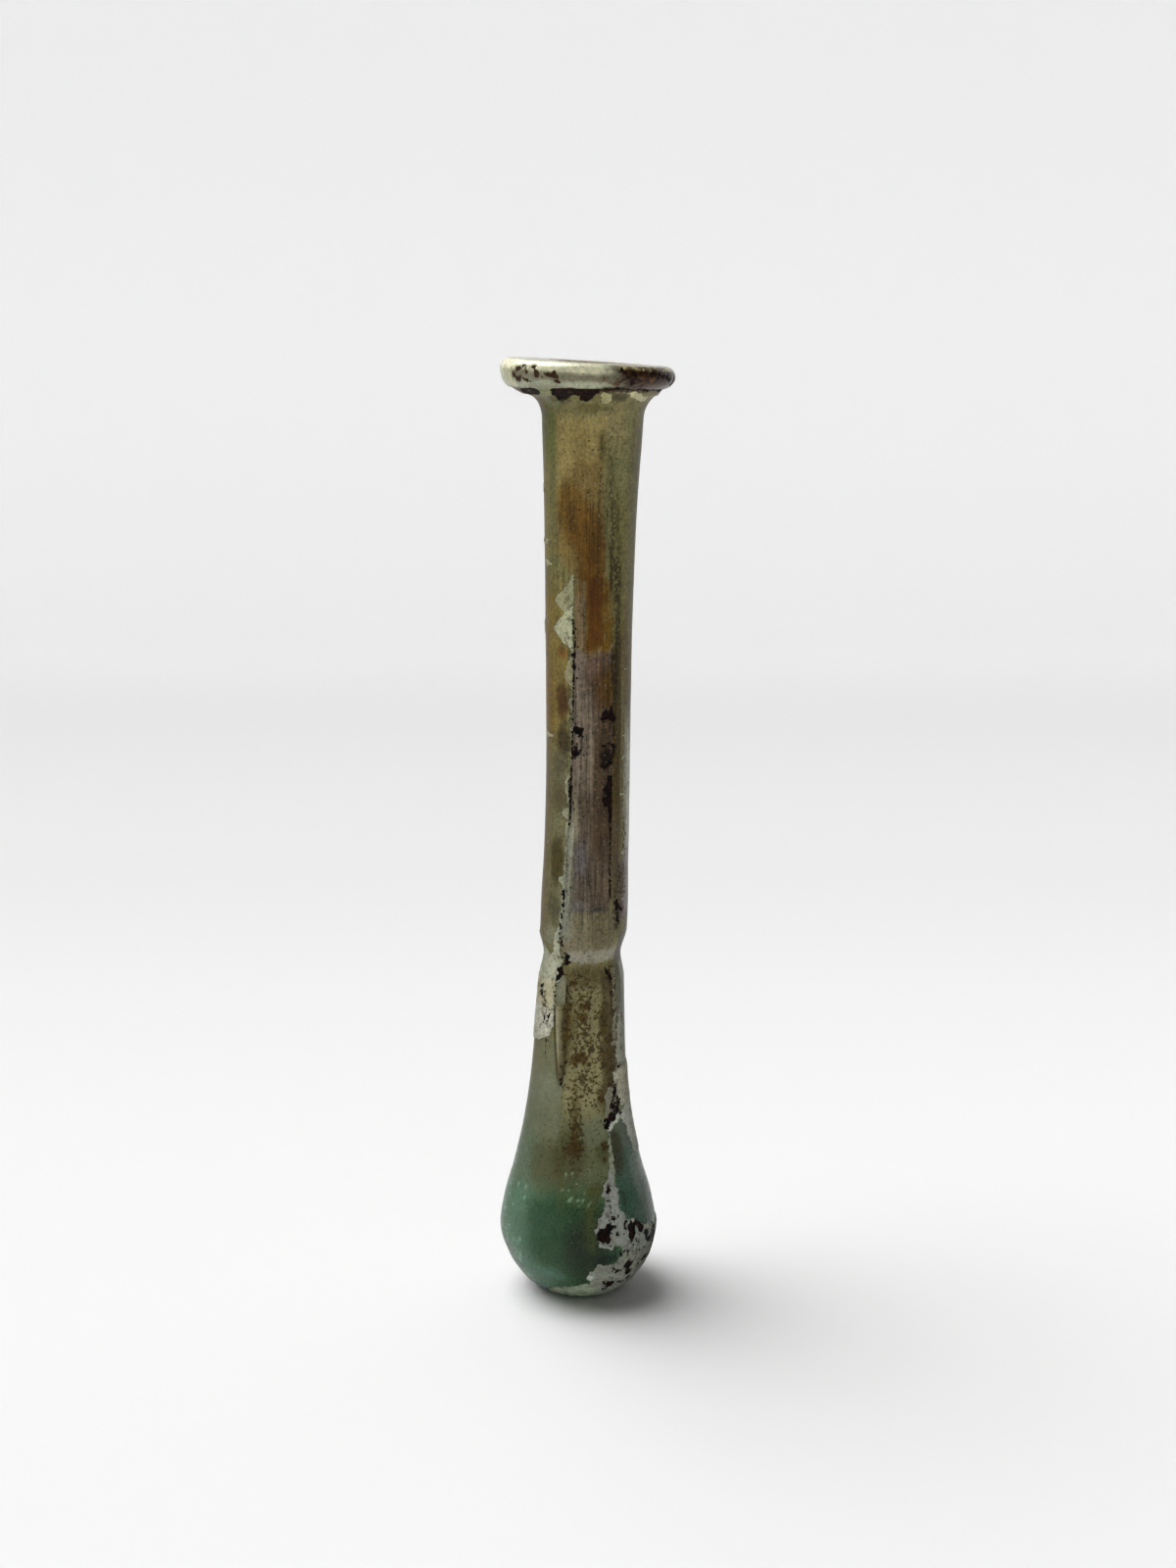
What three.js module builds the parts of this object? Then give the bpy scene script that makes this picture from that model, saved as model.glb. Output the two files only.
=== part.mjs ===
// Free-blown tubular glass unguentarium: a small drop-shaped body on a flattened base, a tooled waist,
// a long slender neck that widens upwards, and a rim folded out, up and in, then flattened.
// Millimetres, +Z up. The origin is the centre of the flat base on which the vessel stands.
import * as THREE from "three";

// ---- driving sizes ---------------------------------------------------------------------------
const SEGMENTS = 40; // facets round the vessel

const BASE_R = 5.5; // flattened underside
const FLOOR_T = 4.8; // glass under the inside of the body
const BELLY_R = 11.1, BELLY_Z = 9.2; // widest place of the body
const WAIST_R = 5.28, WAIST_Z = 49.4; // tooled waist between body and neck
const NECK_R = 5.72, NECK_Z = 78; // slimmest place of the neck
const NECK_TOP_R = 6.72, NECK_TOP_Z = 122.3; // where the neck starts to turn out into the rim

const RIM_R = 11.55; // outer radius of the folded rim
const RIM_TOP = 129.8; // flattened top of the rim, at the rim's centre
const RIM_UNDER = 126.4; // underside of the rim, at its outer part
const RIM_FLAT_IN = 7.1, RIM_FLAT_OUT = 10.2; // the flattened ring on the rim's top
const MOUTH_R = 5.35; // inside of the mouth, just below the lip

const WALL_BODY = 2.0, WALL_WAIST = 1.45, WALL_NECK = 1.15, WALL_MOUTH = 1.25;

const BODY_OFF = 0.55; // the body swells to -X of the base's centre
const NECK_LEAN = 1.5; // how far the neck's middle stands off the body's axis, towards +X
const MOUTH_LEAN = 0.8; // what the top of the neck adds to that
const RIM_OFF = 0.85; // the rim was folded wider on -X: its outer edge sits this far off the neck
const RIM_TOP_TILT = 3.5, RIM_UNDER_TILT = 0.9; // degrees, low on +X: the fold is thicker on -X
const NECK_OVAL = 0.98; // depth over width of the neck

// ---- curves ----------------------------------------------------------------------------------
// Named places on the outside, from the heel up to the start of the rim.
const OUTSIDE = [
  { place: "heel", z: 0.0, r: BASE_R },
  { place: "heel turn", z: 0.55, r: BASE_R + 0.72 },
  { place: "under body", z: 2.7, r: 8.35 },
  { place: "low body", z: 5.6, r: 10.25 },
  { place: "belly", z: BELLY_Z, r: BELLY_R },
  { place: "high body", z: 13.2, r: 10.5 },
  { place: "shoulder", z: 18.6, r: 9.02 },
  { place: "shoulder end", z: 25.5, r: 7.54 },
  { place: "throat", z: 33, r: 6.62 },
  { place: "throat end", z: 42, r: 6.1 },
  { place: "below waist", z: 46.2, r: 5.86 },
  { place: "waist", z: WAIST_Z, r: WAIST_R },
  { place: "above waist", z: 53.0, r: 6.03 },
  { place: "neck swelling", z: 56, r: 6.04 },
  { place: "low neck", z: 64, r: 5.83 },
  { place: "neck", z: NECK_Z, r: NECK_R },
  { place: "high neck", z: 98, r: 5.9 },
  { place: "flare", z: 112, r: 6.24 },
  { place: "neck top", z: NECK_TOP_Z, r: NECK_TOP_R },
];
const WALL = [
  { place: "body", z: 8, t: WALL_BODY },
  { place: "shoulder", z: 24, t: 1.45 },
  { place: "waist", z: WAIST_Z, t: WALL_WAIST },
  { place: "low neck", z: 56, t: WALL_NECK + 0.1 },
  { place: "neck", z: NECK_Z, t: WALL_NECK },
  { place: "mouth", z: NECK_TOP_Z, t: WALL_MOUTH },
];

// Monotone cubic through named places, so that the outline has no ripples between them.
function smoothThrough(xs, ys) {
  const n = xs.length, h = [], d = [], m = new Array(n).fill(0);
  for (let i = 0; i < n - 1; i++) {
    h.push(xs[i + 1] - xs[i]);
    d.push((ys[i + 1] - ys[i]) / h[i]);
  }
  m[0] = d[0];
  m[n - 1] = d[n - 2];
  for (let i = 1; i < n - 1; i++) {
    if (d[i - 1] * d[i] > 0) {
      const a = 2 * h[i] + h[i - 1], b = h[i] + 2 * h[i - 1];
      m[i] = (a + b) / (a / d[i - 1] + b / d[i]);
    }
  }
  return (x) => {
    if (x <= xs[0]) return ys[0];
    if (x >= xs[n - 1]) return ys[n - 1];
    let i = 0;
    while (x > xs[i + 1]) i++;
    const t = (x - xs[i]) / h[i], t2 = t * t, t3 = t2 * t;
    return (2 * t3 - 3 * t2 + 1) * ys[i] + (t3 - 2 * t2 + t) * h[i] * m[i]
      + (3 * t2 - 2 * t3) * ys[i + 1] + (t3 - t2) * h[i] * m[i + 1];
  };
}
const smoothstep = (a, b, x) => {
  const t = Math.min(1, Math.max(0, (x - a) / (b - a)));
  return t * t * (3 - 2 * t);
};
const outside = smoothThrough(OUTSIDE.map((s) => s.z), OUTSIDE.map((s) => s.r));
const wall = smoothThrough(WALL.map((s) => s.z), WALL.map((s) => s.t));
const inside = (z) => outside(z) - wall(z);

// A quarter turn of an oval from one point to another, which starts along the radius or along the height.
function quarter(from, to, startsOutward, steps) {
  const pts = [];
  for (let i = 1; i <= steps; i++) {
    const a = (i / steps) * Math.PI / 2, s = Math.sin(a), c = 1 - Math.cos(a);
    const [u, v] = startsOutward ? [s, c] : [c, s];
    pts.push(new THREE.Vector2(from.x + (to.x - from.x) * u, from.y + (to.y - from.y) * v));
  }
  return pts;
}

// ---- the section, from the middle of the base outside, over the rim, to the middle of the floor inside
function section() {
  const v = (r, z) => new THREE.Vector2(r, z);
  const pts = [v(0, 0), v(BASE_R * 0.5, 0), v(BASE_R, 0)];

  const heights = [0.25, 0.7, 1.6, 2.8, 4.2, 5.8, 7.5, 9.2, 11, 13, 15.2, 17.6, 20.2, 23.2, 26.8, 31, 36, 41, 44.6, 46.8,
    48.2, WAIST_Z, 50.7, 52, 53.5, 56, 60, 66, NECK_Z, 90, 102, 112, 118, NECK_TOP_Z];
  for (const z of heights) pts.push(v(outside(z), z));

  // the neck turns out under the rim, then the fold rolls round to the flattened top
  const turn = v(8.9, RIM_UNDER - 0.75), under = v(9.95, RIM_UNDER + 0.1);
  const edge = v(RIM_R, (RIM_UNDER + RIM_TOP) / 2 + 0.4), top = v(RIM_FLAT_OUT, RIM_TOP);
  pts.push(...quarter(v(NECK_TOP_R, NECK_TOP_Z), turn, false, 5));
  pts.push(v((turn.x + under.x) / 2, (turn.y + under.y) / 2 - 0.05), under);
  pts.push(...quarter(under, edge, true, 4));
  pts.push(...quarter(edge, top, false, 4));

  // flattened ring, then the lip rolls into the mouth
  const lip = v(RIM_FLAT_IN, RIM_TOP), mouth = v(MOUTH_R, RIM_TOP - 2.4);
  pts.push(lip);
  pts.push(...quarter(lip, mouth, true, 4));

  // down the inside
  const down = [123.5, NECK_TOP_Z - 3, 112, 102, 90, NECK_Z, 66, 58, 54, 51.6, WAIST_Z, 47, 44, 38, 32, 26.8, 22.5, 18.6, 15, 12];
  for (const z of down) pts.push(v(z > NECK_TOP_Z ? (MOUTH_R + inside(NECK_TOP_Z)) / 2 : inside(z), z));

  // rounded floor of the body
  const side = v(inside(9.6), 9.6);
  pts.push(side);
  pts.push(...quarter(side, v(0, FLOOR_T), false, 6));
  return pts;
}

// ---- what the glassblower's hand did to the true round ----------------------------------------
const lean = (z) => -BODY_OFF * smoothstep(0, 9, z) + NECK_LEAN * smoothstep(20, 82, z) + MOUTH_LEAN * Math.max(0, (z - 80) / 50) ** 2;

function handmade(x, y, z) {
  const r = Math.hypot(x, y);
  const neck = smoothstep(30, 60, z) * (1 - smoothstep(118, 125, z));
  y *= 1 - (1 - NECK_OVAL) * neck;
  const rim = smoothstep(123, 126.5, z);
  const off = -RIM_OFF * rim * smoothstep(NECK_TOP_R + 0.5, RIM_FLAT_OUT, r);
  const tilt = THREE.MathUtils.degToRad(
    THREE.MathUtils.lerp(RIM_UNDER_TILT, RIM_TOP_TILT, smoothstep(RIM_UNDER, RIM_TOP - 0.9, z)));
  const dz = -Math.tan(tilt) * (x + off) * rim;
  return [x + off + lean(z), y, z + dz];
}

function vesselGeometry() {
  const g = new THREE.LatheGeometry(section(), SEGMENTS);
  g.rotateX(Math.PI / 2);
  const p = g.getAttribute("position");
  for (let i = 0; i < p.count; i++) {
    const [x, y, z] = handmade(p.getX(i), p.getY(i), p.getZ(i));
    p.setXYZ(i, x, y, z);
  }
  g.computeVertexNormals();
  return g;
}

// ---- the object --------------------------------------------------------------------------------
const weatheredGlass = new THREE.MeshStandardMaterial({
  name: "weathered_glass",
  color: new THREE.Color(0.33, 0.4, 0.27),
  roughness: 0.35,
  metalness: 0,
});

const vessel = new THREE.Mesh(vesselGeometry(), weatheredGlass);
vessel.name = "glass_vessel";

const unguentarium = new THREE.Group();
unguentarium.name = "unguentarium";
unguentarium.add(vessel);

export default unguentarium;
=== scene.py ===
import bpy
import numpy as np
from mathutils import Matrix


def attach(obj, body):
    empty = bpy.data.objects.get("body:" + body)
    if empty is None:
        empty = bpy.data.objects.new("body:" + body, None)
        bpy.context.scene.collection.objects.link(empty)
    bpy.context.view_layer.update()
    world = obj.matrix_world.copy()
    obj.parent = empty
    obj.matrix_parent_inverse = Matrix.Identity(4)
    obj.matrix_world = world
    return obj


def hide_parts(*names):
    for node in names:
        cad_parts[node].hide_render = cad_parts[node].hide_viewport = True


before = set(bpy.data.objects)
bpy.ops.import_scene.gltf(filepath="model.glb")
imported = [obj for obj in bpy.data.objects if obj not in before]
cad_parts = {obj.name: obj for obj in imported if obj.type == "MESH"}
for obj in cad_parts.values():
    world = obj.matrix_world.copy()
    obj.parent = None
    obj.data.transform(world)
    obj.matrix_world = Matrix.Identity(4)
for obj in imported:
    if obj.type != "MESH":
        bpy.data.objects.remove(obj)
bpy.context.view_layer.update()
MM = 0.001

# ------------------------------------------------------------------ camera
cam_data = bpy.data.cameras.new("camera")
cam_data.lens = 48.588
cam_data.sensor_width = 36
cam_data.clip_start = 0.01
cam_data.clip_end = 50
cam = bpy.data.objects.new("camera", cam_data)
cam.location = (0.0009, -0.282904, 0.134938)
cam.rotation_euler = (np.radians(77.6874), 0, 0)
bpy.context.scene.collection.objects.link(cam)
bpy.context.scene.camera = cam

# ------------------------------------------------------------------ the CAD's profile, in mm
BASE_R, FLOOR_T = 5.5, 4.8
BELLY_R, BELLY_Z = 11.1, 9.2
WAIST_R, WAIST_Z = 5.28, 49.4
NECK_R, NECK_Z = 5.72, 78.0
NECK_TOP_R, NECK_TOP_Z = 6.72, 122.3
RIM_R, RIM_TOP, RIM_UNDER = 11.55, 129.8, 126.4
RIM_FLAT_IN, RIM_FLAT_OUT, MOUTH_R = 7.1, 10.2, 5.35
WALL_BODY, WALL_WAIST, WALL_NECK, WALL_MOUTH = 2.0, 1.45, 1.15, 1.25
BODY_OFF, NECK_LEAN, MOUTH_LEAN = 0.55, 1.5, 0.8
RIM_OFF, RIM_TOP_TILT, RIM_UNDER_TILT, NECK_OVAL = 0.85, 3.5, 0.9, 0.98

OUTSIDE = [(0, BASE_R), (0.55, BASE_R + 0.72), (2.7, 8.35), (5.6, 10.25), (BELLY_Z, BELLY_R), (13.2, 10.5), (18.6, 9.02),
           (25.5, 7.54), (33, 6.62), (42, 6.1), (46.2, 5.86), (WAIST_Z, WAIST_R), (53, 6.03), (56, 6.04), (64, 5.83),
           (NECK_Z, NECK_R), (98, 5.9), (112, 6.24), (NECK_TOP_Z, NECK_TOP_R)]
WALL = [(8, WALL_BODY), (24, 1.45), (WAIST_Z, WALL_WAIST), (56, WALL_NECK + 0.1), (NECK_Z, WALL_NECK), (NECK_TOP_Z, WALL_MOUTH)]


def smooth_through(places):
    """Monotone cubic through named places."""
    xs, ys = np.array([p[0] for p in places], float), np.array([p[1] for p in places], float)
    n, h = len(xs), np.diff(xs)
    d = np.diff(ys) / h
    m = np.zeros(n)
    m[0], m[-1] = d[0], d[-1]
    for i in range(1, n - 1):
        if d[i - 1] * d[i] > 0:
            a, b = 2 * h[i] + h[i - 1], h[i] + 2 * h[i - 1]
            m[i] = (a + b) / (a / d[i - 1] + b / d[i])

    def f(x):
        x = np.clip(np.asarray(x, float), xs[0], xs[-1])
        i = np.clip(np.searchsorted(xs, x, side="right") - 1, 0, n - 2)
        t = (x - xs[i]) / h[i]
        t2, t3 = t * t, t * t * t
        return (2 * t3 - 3 * t2 + 1) * ys[i] + (t3 - 2 * t2 + t) * h[i] * m[i] + (3 * t2 - 2 * t3) * ys[i + 1] + (t3 - t2) * h[i] * m[i + 1]

    return f


def step(a, b, x):
    """Smooth step from 0 at a to 1 at b."""
    t = np.clip((np.asarray(x, float) - a) / (b - a), 0, 1)
    return t * t * (3 - 2 * t)


outside, wall = smooth_through(OUTSIDE), smooth_through(WALL)


def inside(z):
    return outside(z) - wall(z)


def quarter(a, b, starts_outward, steps):
    t = np.arange(1, steps + 1) / steps * np.pi / 2
    s, c = np.sin(t), 1 - np.cos(t)
    u, v = (s, c) if starts_outward else (c, s)
    return [(a[0] + (b[0] - a[0]) * i, a[1] + (b[1] - a[1]) * j) for i, j in zip(u, v)]


def lean(z):
    return -BODY_OFF * step(0, 9, z) + NECK_LEAN * step(20, 82, z) + MOUTH_LEAN * np.maximum(0, (z - 80) / 50) ** 2


def handmade(x, y, z):
    r = np.hypot(x, y)
    neck = step(30, 60, z) * (1 - step(118, 125, z))
    y = y * (1 - (1 - NECK_OVAL) * neck)
    rim = step(123, 126.5, z)
    off = -RIM_OFF * rim * step(NECK_TOP_R + 0.5, RIM_FLAT_OUT, r)
    tilt = np.radians(RIM_UNDER_TILT + (RIM_TOP_TILT - RIM_UNDER_TILT) * step(RIM_UNDER, RIM_TOP - 0.9, z))
    return x + off + lean(z), y, z - np.tan(tilt) * (x + off) * rim


# The section as one fine line: middle of the base, outside, over the rim, inside, middle of the floor.
turn, under = (8.9, RIM_UNDER - 0.75), (9.95, RIM_UNDER + 0.1)
edge, top = (RIM_R, (RIM_UNDER + RIM_TOP) / 2 + 0.4), (RIM_FLAT_OUT, RIM_TOP)
lip, mouth = (RIM_FLAT_IN, RIM_TOP), (MOUTH_R, RIM_TOP - 2.4)
line = [(0.0, 0.0), (BASE_R, 0.0)]
line += [(float(outside(z)), z) for z in np.arange(0.05, NECK_TOP_Z, 0.05)] + [(NECK_TOP_R, NECK_TOP_Z)]
line += quarter((NECK_TOP_R, NECK_TOP_Z), turn, False, 40) + [((turn[0] + under[0]) / 2, (turn[1] + under[1]) / 2 - 0.05), under]
line += quarter(under, edge, True, 40) + quarter(edge, top, False, 40) + [lip] + quarter(lip, mouth, True, 30)
line += [(MOUTH_R, z) for z in np.arange(127, 124.4, -0.4)]
line += [(float(MOUTH_R + (inside(NECK_TOP_Z) - MOUTH_R) * step(124.4, 121.5, z)) if z > 121.5 else float(inside(z)), z) for z in np.arange(124.4, 9.6, -0.1)]
side = (float(inside(9.6)), 9.6)
line += [side] + quarter(side, (0.0, FLOOR_T), False, 60)
line = np.array(line)
run = np.r_[0, np.cumsum(np.hypot(*np.diff(line, axis=0).T))]


def run_at(z, which):
    """Length along the line where the outside (or inside) is at height z."""
    k = np.argmax(line[:, 1])
    if which == "out":
        return float(np.interp(z, line[2:k, 1], run[2:k]))
    return float(np.interp(-z, -line[k + 60:, 1], run[k + 60:]))


RUN_118 = run_at(118, "out")
RUN_HEEL = float(run[1])
RUN_LIP = float(run[np.argmin(np.hypot(line[:, 0] - lip[0], line[:, 1] - lip[1]))])
RUN_MOUTH = float(run[np.argmin(np.hypot(line[:, 0] - mouth[0], line[:, 1] - mouth[1]))])

# columns stand closer together round the front, where the weathering is richest
TH = np.concatenate([np.linspace(-95, 95, 127)[:-1], np.linspace(95, 265, 67)[:-1]])
TH = np.where(TH > 180, TH - 360, TH)
COLUMNS = len(TH)
rows = [0.4]
while rows[-1] < run[-1] - 0.6:
    s = rows[-1]
    if s < RUN_HEEL - 0.8:
        d = 0.9
    elif s < RUN_118:
        d = 0.335
    elif s < RUN_LIP:
        d = 0.26
    elif s < RUN_MOUTH:
        d = 0.35
    else:
        d = min(2.6, 0.5 + (s - RUN_MOUTH) * 0.25)
        if run[-1] - s < 20:
            d = 0.9
    rows.append(s + d)
rows = np.array(rows)
ROWS = len(rows)
R0 = np.interp(rows, run, line[:, 0])
Z0 = np.interp(rows, run, line[:, 1])

rr, tt = np.meshgrid(R0, TH, indexing="ij")
zz = np.repeat(Z0[:, None], COLUMNS, 1)
ss = np.repeat(rows[:, None], COLUMNS, 1)
rad = np.radians(tt)
bx, by, bz = handmade(rr * np.sin(rad), -rr * np.cos(rad), zz)
base = np.stack([bx, by, bz], -1)
T = tt                                        # angle in degrees: 0 faces the front, + to the right
H = np.where(ss < RUN_118, zz, 118 + ss - RUN_118)   # height, and above 118 the length over the rim
RR = np.maximum(rr, 0.3)
IN = step(RUN_MOUTH - 1.0, RUN_MOUTH + 2.0, ss)  # 1 on the inside of the vessel
OUT = 1 - IN

# ------------------------------------------------------------------ seeded noise
rng = np.random.RandomState(20)
PERM = rng.permutation(256)
PERM = np.concatenate([PERM, PERM, PERM])
GRAD = rng.normal(size=(256, 3))
GRAD /= np.linalg.norm(GRAD, axis=1, keepdims=True)


def noise(p):
    """Gradient noise, about -1 to 1."""
    i = np.floor(p).astype(int)
    f = p - i
    u = f * f * f * (f * (f * 6 - 15) + 10)
    i &= 255
    out = 0
    for dx in (0, 1):
        for dy in (0, 1):
            for dz in (0, 1):
                g = GRAD[PERM[PERM[PERM[i[..., 0] + dx] + i[..., 1] + dy] + i[..., 2] + dz] & 255]
                v = (g * (f - (dx, dy, dz))).sum(-1)
                w = (u[..., 0] if dx else 1 - u[..., 0]) * (u[..., 1] if dy else 1 - u[..., 1]) * (u[..., 2] if dz else 1 - u[..., 2])
                out = out + v * w
    return out * 1.5


def nz(size, octaves=2, stretch=1.0, seed=0):
    """Noise over the vessel with features of about size mm, drawn out stretch times along the height."""
    p = base / size / np.array([1, 1, stretch]) + seed * 17.3
    out, a, n = 0, 1.0, 0.0
    for k in range(octaves):
        out = out + a * noise(p * 2.0 ** k + k * 5.1)
        n += a
        a *= 0.55
    return out / n


SPOT, WORTH = rng.uniform(0, 1, (256, 3)), rng.uniform(-1, 1, 256)


def cells(size, seed, stretch=1.0):
    """A steady value, -1 to 1, over each of many angular cells of about size mm."""
    p = base / size / np.array([1, 1, stretch]) + seed * 7.7
    i = np.floor(p).astype(int)
    best, out = np.full(T.shape, 9e9), np.zeros(T.shape)
    for dx in (-1, 0, 1):
        for dy in (-1, 0, 1):
            for dz in (-1, 0, 1):
                c = i + (dx, dy, dz)
                k = PERM[PERM[PERM[c[..., 0] & 255] + (c[..., 1] & 255)] + (c[..., 2] & 255)] & 255
                d = ((c + SPOT[k] - p) ** 2).sum(-1)
                out = np.where(d < best, WORTH[(k * 7 + seed) & 255], out)
                best = np.minimum(best, d)
    return out


# ------------------------------------------------------------------ shapes on the surface, signed distance in mm, + inside
def across(t0):
    return ((T - t0 + 180) % 360 - 180) * np.pi / 180 * RR


def oval(t0, h0, a, b, rot=0.0):
    x, y = across(t0), H - h0
    c, s = np.cos(np.radians(rot)), np.sin(np.radians(rot))
    x, y = x * c + y * s, -x * s + y * c
    return (1 - np.sqrt((x / a) ** 2 + (y / b) ** 2)) * min(a, b)


def stroke(places, w0, w1=None):
    """A line through a few (angle, height) places, half width from w0 to w1 mm."""
    w1 = w0 if w1 is None else w1
    k = np.pi / 180 * RR
    t0 = places[0][0]
    x, y = across(t0), H
    total = len(places) - 1
    best = np.full(T.shape, -1e3)
    for n, (a, b) in enumerate(zip(places[:-1], places[1:])):
        ax, bx_ = (a[0] - t0) * k, (b[0] - t0) * k
        ex, ey = bx_ - ax, b[1] - a[1]
        t = np.clip(((x - ax) * ex + (y - a[1]) * ey) / (ex * ex + ey * ey + 1e-9), 0, 1)
        d = np.hypot(x - ax - t * ex, y - a[1] - t * ey)
        w = w0 + (w1 - w0) * (n + t) / total
        best = np.maximum(best, w - d)
    return best


def patch(*places):
    """A flat-sided patch through a few (angle, height) corners."""
    k = np.pi / 180 * RR
    t0 = places[0][0]
    x, y = across(t0), H
    d = np.full(T.shape, 1e3)
    odd = np.zeros(T.shape, bool)
    for a, b in zip(places, places[1:] + places[:1]):
        ax, bx_ = (a[0] - t0) * k, (b[0] - t0) * k
        ex, ey = bx_ - ax, b[1] - a[1]
        t = np.clip(((x - ax) * ex + (y - a[1]) * ey) / (ex * ex + ey * ey + 1e-9), 0, 1)
        d = np.minimum(d, np.hypot(x - ax - t * ex, y - a[1] - t * ey))
        if ey != 0:
            odd ^= ((a[1] > y) != (b[1] > y)) & (x < ax + (y - a[1]) / ey * ex)
    return np.where(odd, d, -d)


def soft(sdf, width):
    return step(-width, width, sdf)


def band(a, b, sa, sb, x):
    return step(a - sa, a + sa, x) * (1 - step(b - sb, b + sb, x))


def lin(r, g, b):
    c = np.array([r, g, b], float) / 255
    return np.where(c <= 0.04045, c / 12.92, ((c + 0.055) / 1.055) ** 2.4)


WOB = nz(3.0, 3, 1.6, 1)       # broad wobble of film borders
WOB2 = nz(1.1, 3, 1.0, 2)      # finer wobble
JAG = nz(0.55, 3, 1.0, 3)      # flake edges
DRAW = nz(0.9, 2, 14.0, 4)     # drawn out along the height
DRAW2 = nz(0.5, 2, 9.0, 6)
CLOUD = nz(6.0, 3, 1.5, 5)
CHIP = cells(0.95, 1)
CHIP2 = cells(0.5, 2)
CHIP_UP = cells(0.62, 3, 2.0)
front = band(-100, 100, 12, 12, T)
back = 1 - front

# ------------------------------------------------------------------ colours of the glass and its films
tone = np.zeros(T.shape + (3,))


def lay(mask, colour, share=1.0):
    global tone
    m = np.clip(mask * share, 0, 1)[..., None]
    tone = tone * (1 - m) + lin(*colour) * m


GLASS_BODY, GLASS_NECK = (70, 96, 76), (100, 100, 68)
lay(np.ones(T.shape), GLASS_BODY)
lay(step(18, 34, H + 3 * WOB), GLASS_NECK)

# body: clear green glass under a thin brown film that runs down from the neck; darkest in front and towards the crusted
# seam, partly painted shade, and paler and bluer to the left, partly a painted sheen where the light grazes it
lay(soft(oval(-64, 11, 7.4, 10.5, 0) + 1.4 * WOB, 3.4), (92, 120, 100), 0.9)
lay(soft(oval(-68, 8, 3.6, 3.4, 0) + 0.8 * WOB, 1.6), (106, 130, 110), 0.8)
lay(soft(oval(-4, 10, 7.4, 9.0, 0) + 1.4 * WOB + 0.6 * WOB2, 3.0), (46, 68, 47))
lay(soft(oval(8, 8.8, 3.6, 5.4, 0) + 0.9 * WOB, 2.0), (36, 46, 32), 0.9)
lay(soft(oval(-30, 13.5, 2.4, 2.4, 0) + 0.9 * WOB2, 1.1), (52, 74, 56), 0.6)
lay(band(4.4, 6.4, 0.9, 0.8, H + 0.5 * WOB2) * band(-62, -14, 8, 6, T + 6 * WOB), (74, 102, 86), 0.75)
lay(band(0, 3.0, 0.3, 0.7, H + 0.4 * WOB2) * band(-90, -32, 8, 6, T + 5 * WOB), (66, 88, 78), 0.9)
lay(band(17, 32, 2.6, 4, H + 1.6 * WOB) * band(-100, -38, 8, 9, T + 6 * WOB), (98, 108, 88), 0.9)
lay(band(18, 30, 2.8, 2, H + 3.0 * WOB + 1.3 * WOB2) * band(-42, 34, 9, 3, T + 6 * WOB2), (84, 86, 60), 0.95)
lay(soft(oval(-30, 21, 3.2, 3.6, 0) + 1.0 * WOB2, 1.2), (80, 80, 58), 0.8)
lay(soft(oval(-9, 22, 2.6, 3.8, 0) + 1.0 * WOB2, 1.0), (66, 64, 42), 0.85)
lay(soft(oval(17, 25.6, 2.0, 2.3, 0) + 0.8 * WOB2, 0.8), (92, 95, 74), 0.85)
lay(soft(oval(26, 22.5, 1.1, 1.3, 0) + 0.5 * WOB2, 0.5), (60, 60, 36), 0.9)
# painted shade: the glass darkest near the crusted seam
lay(soft(oval(10, 10.4, 2.8, 4.4, 0) + 0.6 * WOB2, 1.2), (32, 41, 29), 0.85)
lay(soft(stroke([(12, 17.5), (9.5, 14.8), (9.5, 11.6), (11, 10.2)], 0.7, 0.7) + 0.8 * WOB2 + 0.4 * JAG, 1.1), (66, 70, 38), 0.65)
lay(soft(oval(18, 17.6, 1.5, 0.8, 0) + 0.3 * WOB2, 0.5), (60, 62, 36), 0.7)
lay(soft(oval(21, 7.9, 1.7, 0.7, 0) + 0.2 * WOB2, 0.25), (26, 36, 30), 0.95)
# window of teal glass between the seam, the cream crust and the crusted foot
window = patch((34.5, 25.4), (50, 26.4), (68, 26), (69, 21.5), (86, 19), (86, 11), (62, 10.6), (46, 12.4), (38, 14.2), (35, 19))
lay(soft(window, 0.35), (52, 72, 60))
lay(soft(np.minimum(window, oval(58, 13.6, 3.6, 2.8, 0) + 0.6 * WOB2), 0.6), (40, 64, 51), 0.9)
lay(soft(np.minimum(window, oval(72, 18, 2.6, 4.2, 0) + 0.6 * WOB2), 0.7), (82, 95, 85), 0.9)
lay(soft(np.minimum(window, oval(53, 24.3, 2.6, 2.0, 0) + 0.5 * WOB2), 0.5), (72, 78, 65), 0.95)
lay(soft(np.minimum(window, oval(41, 22.2, 1.4, 3.2, 0) + 0.5 * WOB2), 0.5), (44, 42, 27), 0.95)
lay(soft(np.minimum(window, oval(39, 15.5, 0.8, 1.6, 0) + 0.3 * WOB2), 0.4), (34, 44, 34), 0.8)

lay(band(1.0, 8.6, 0.8, 1.2, H + 0.5 * WOB2) * band(-118, -63, 12, 7, T + 4 * WOB), (34, 50, 43), 0.85)
lay(band(11, 17, 1, 2, H) * band(65, 104, 4, 8, T), (38, 56, 43), 0.85)
lay(band(42, 49.5, 1, 1, H + WOB2) * band(66, 104, 3, 8, T), (146, 148, 137), 0.85)
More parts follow.
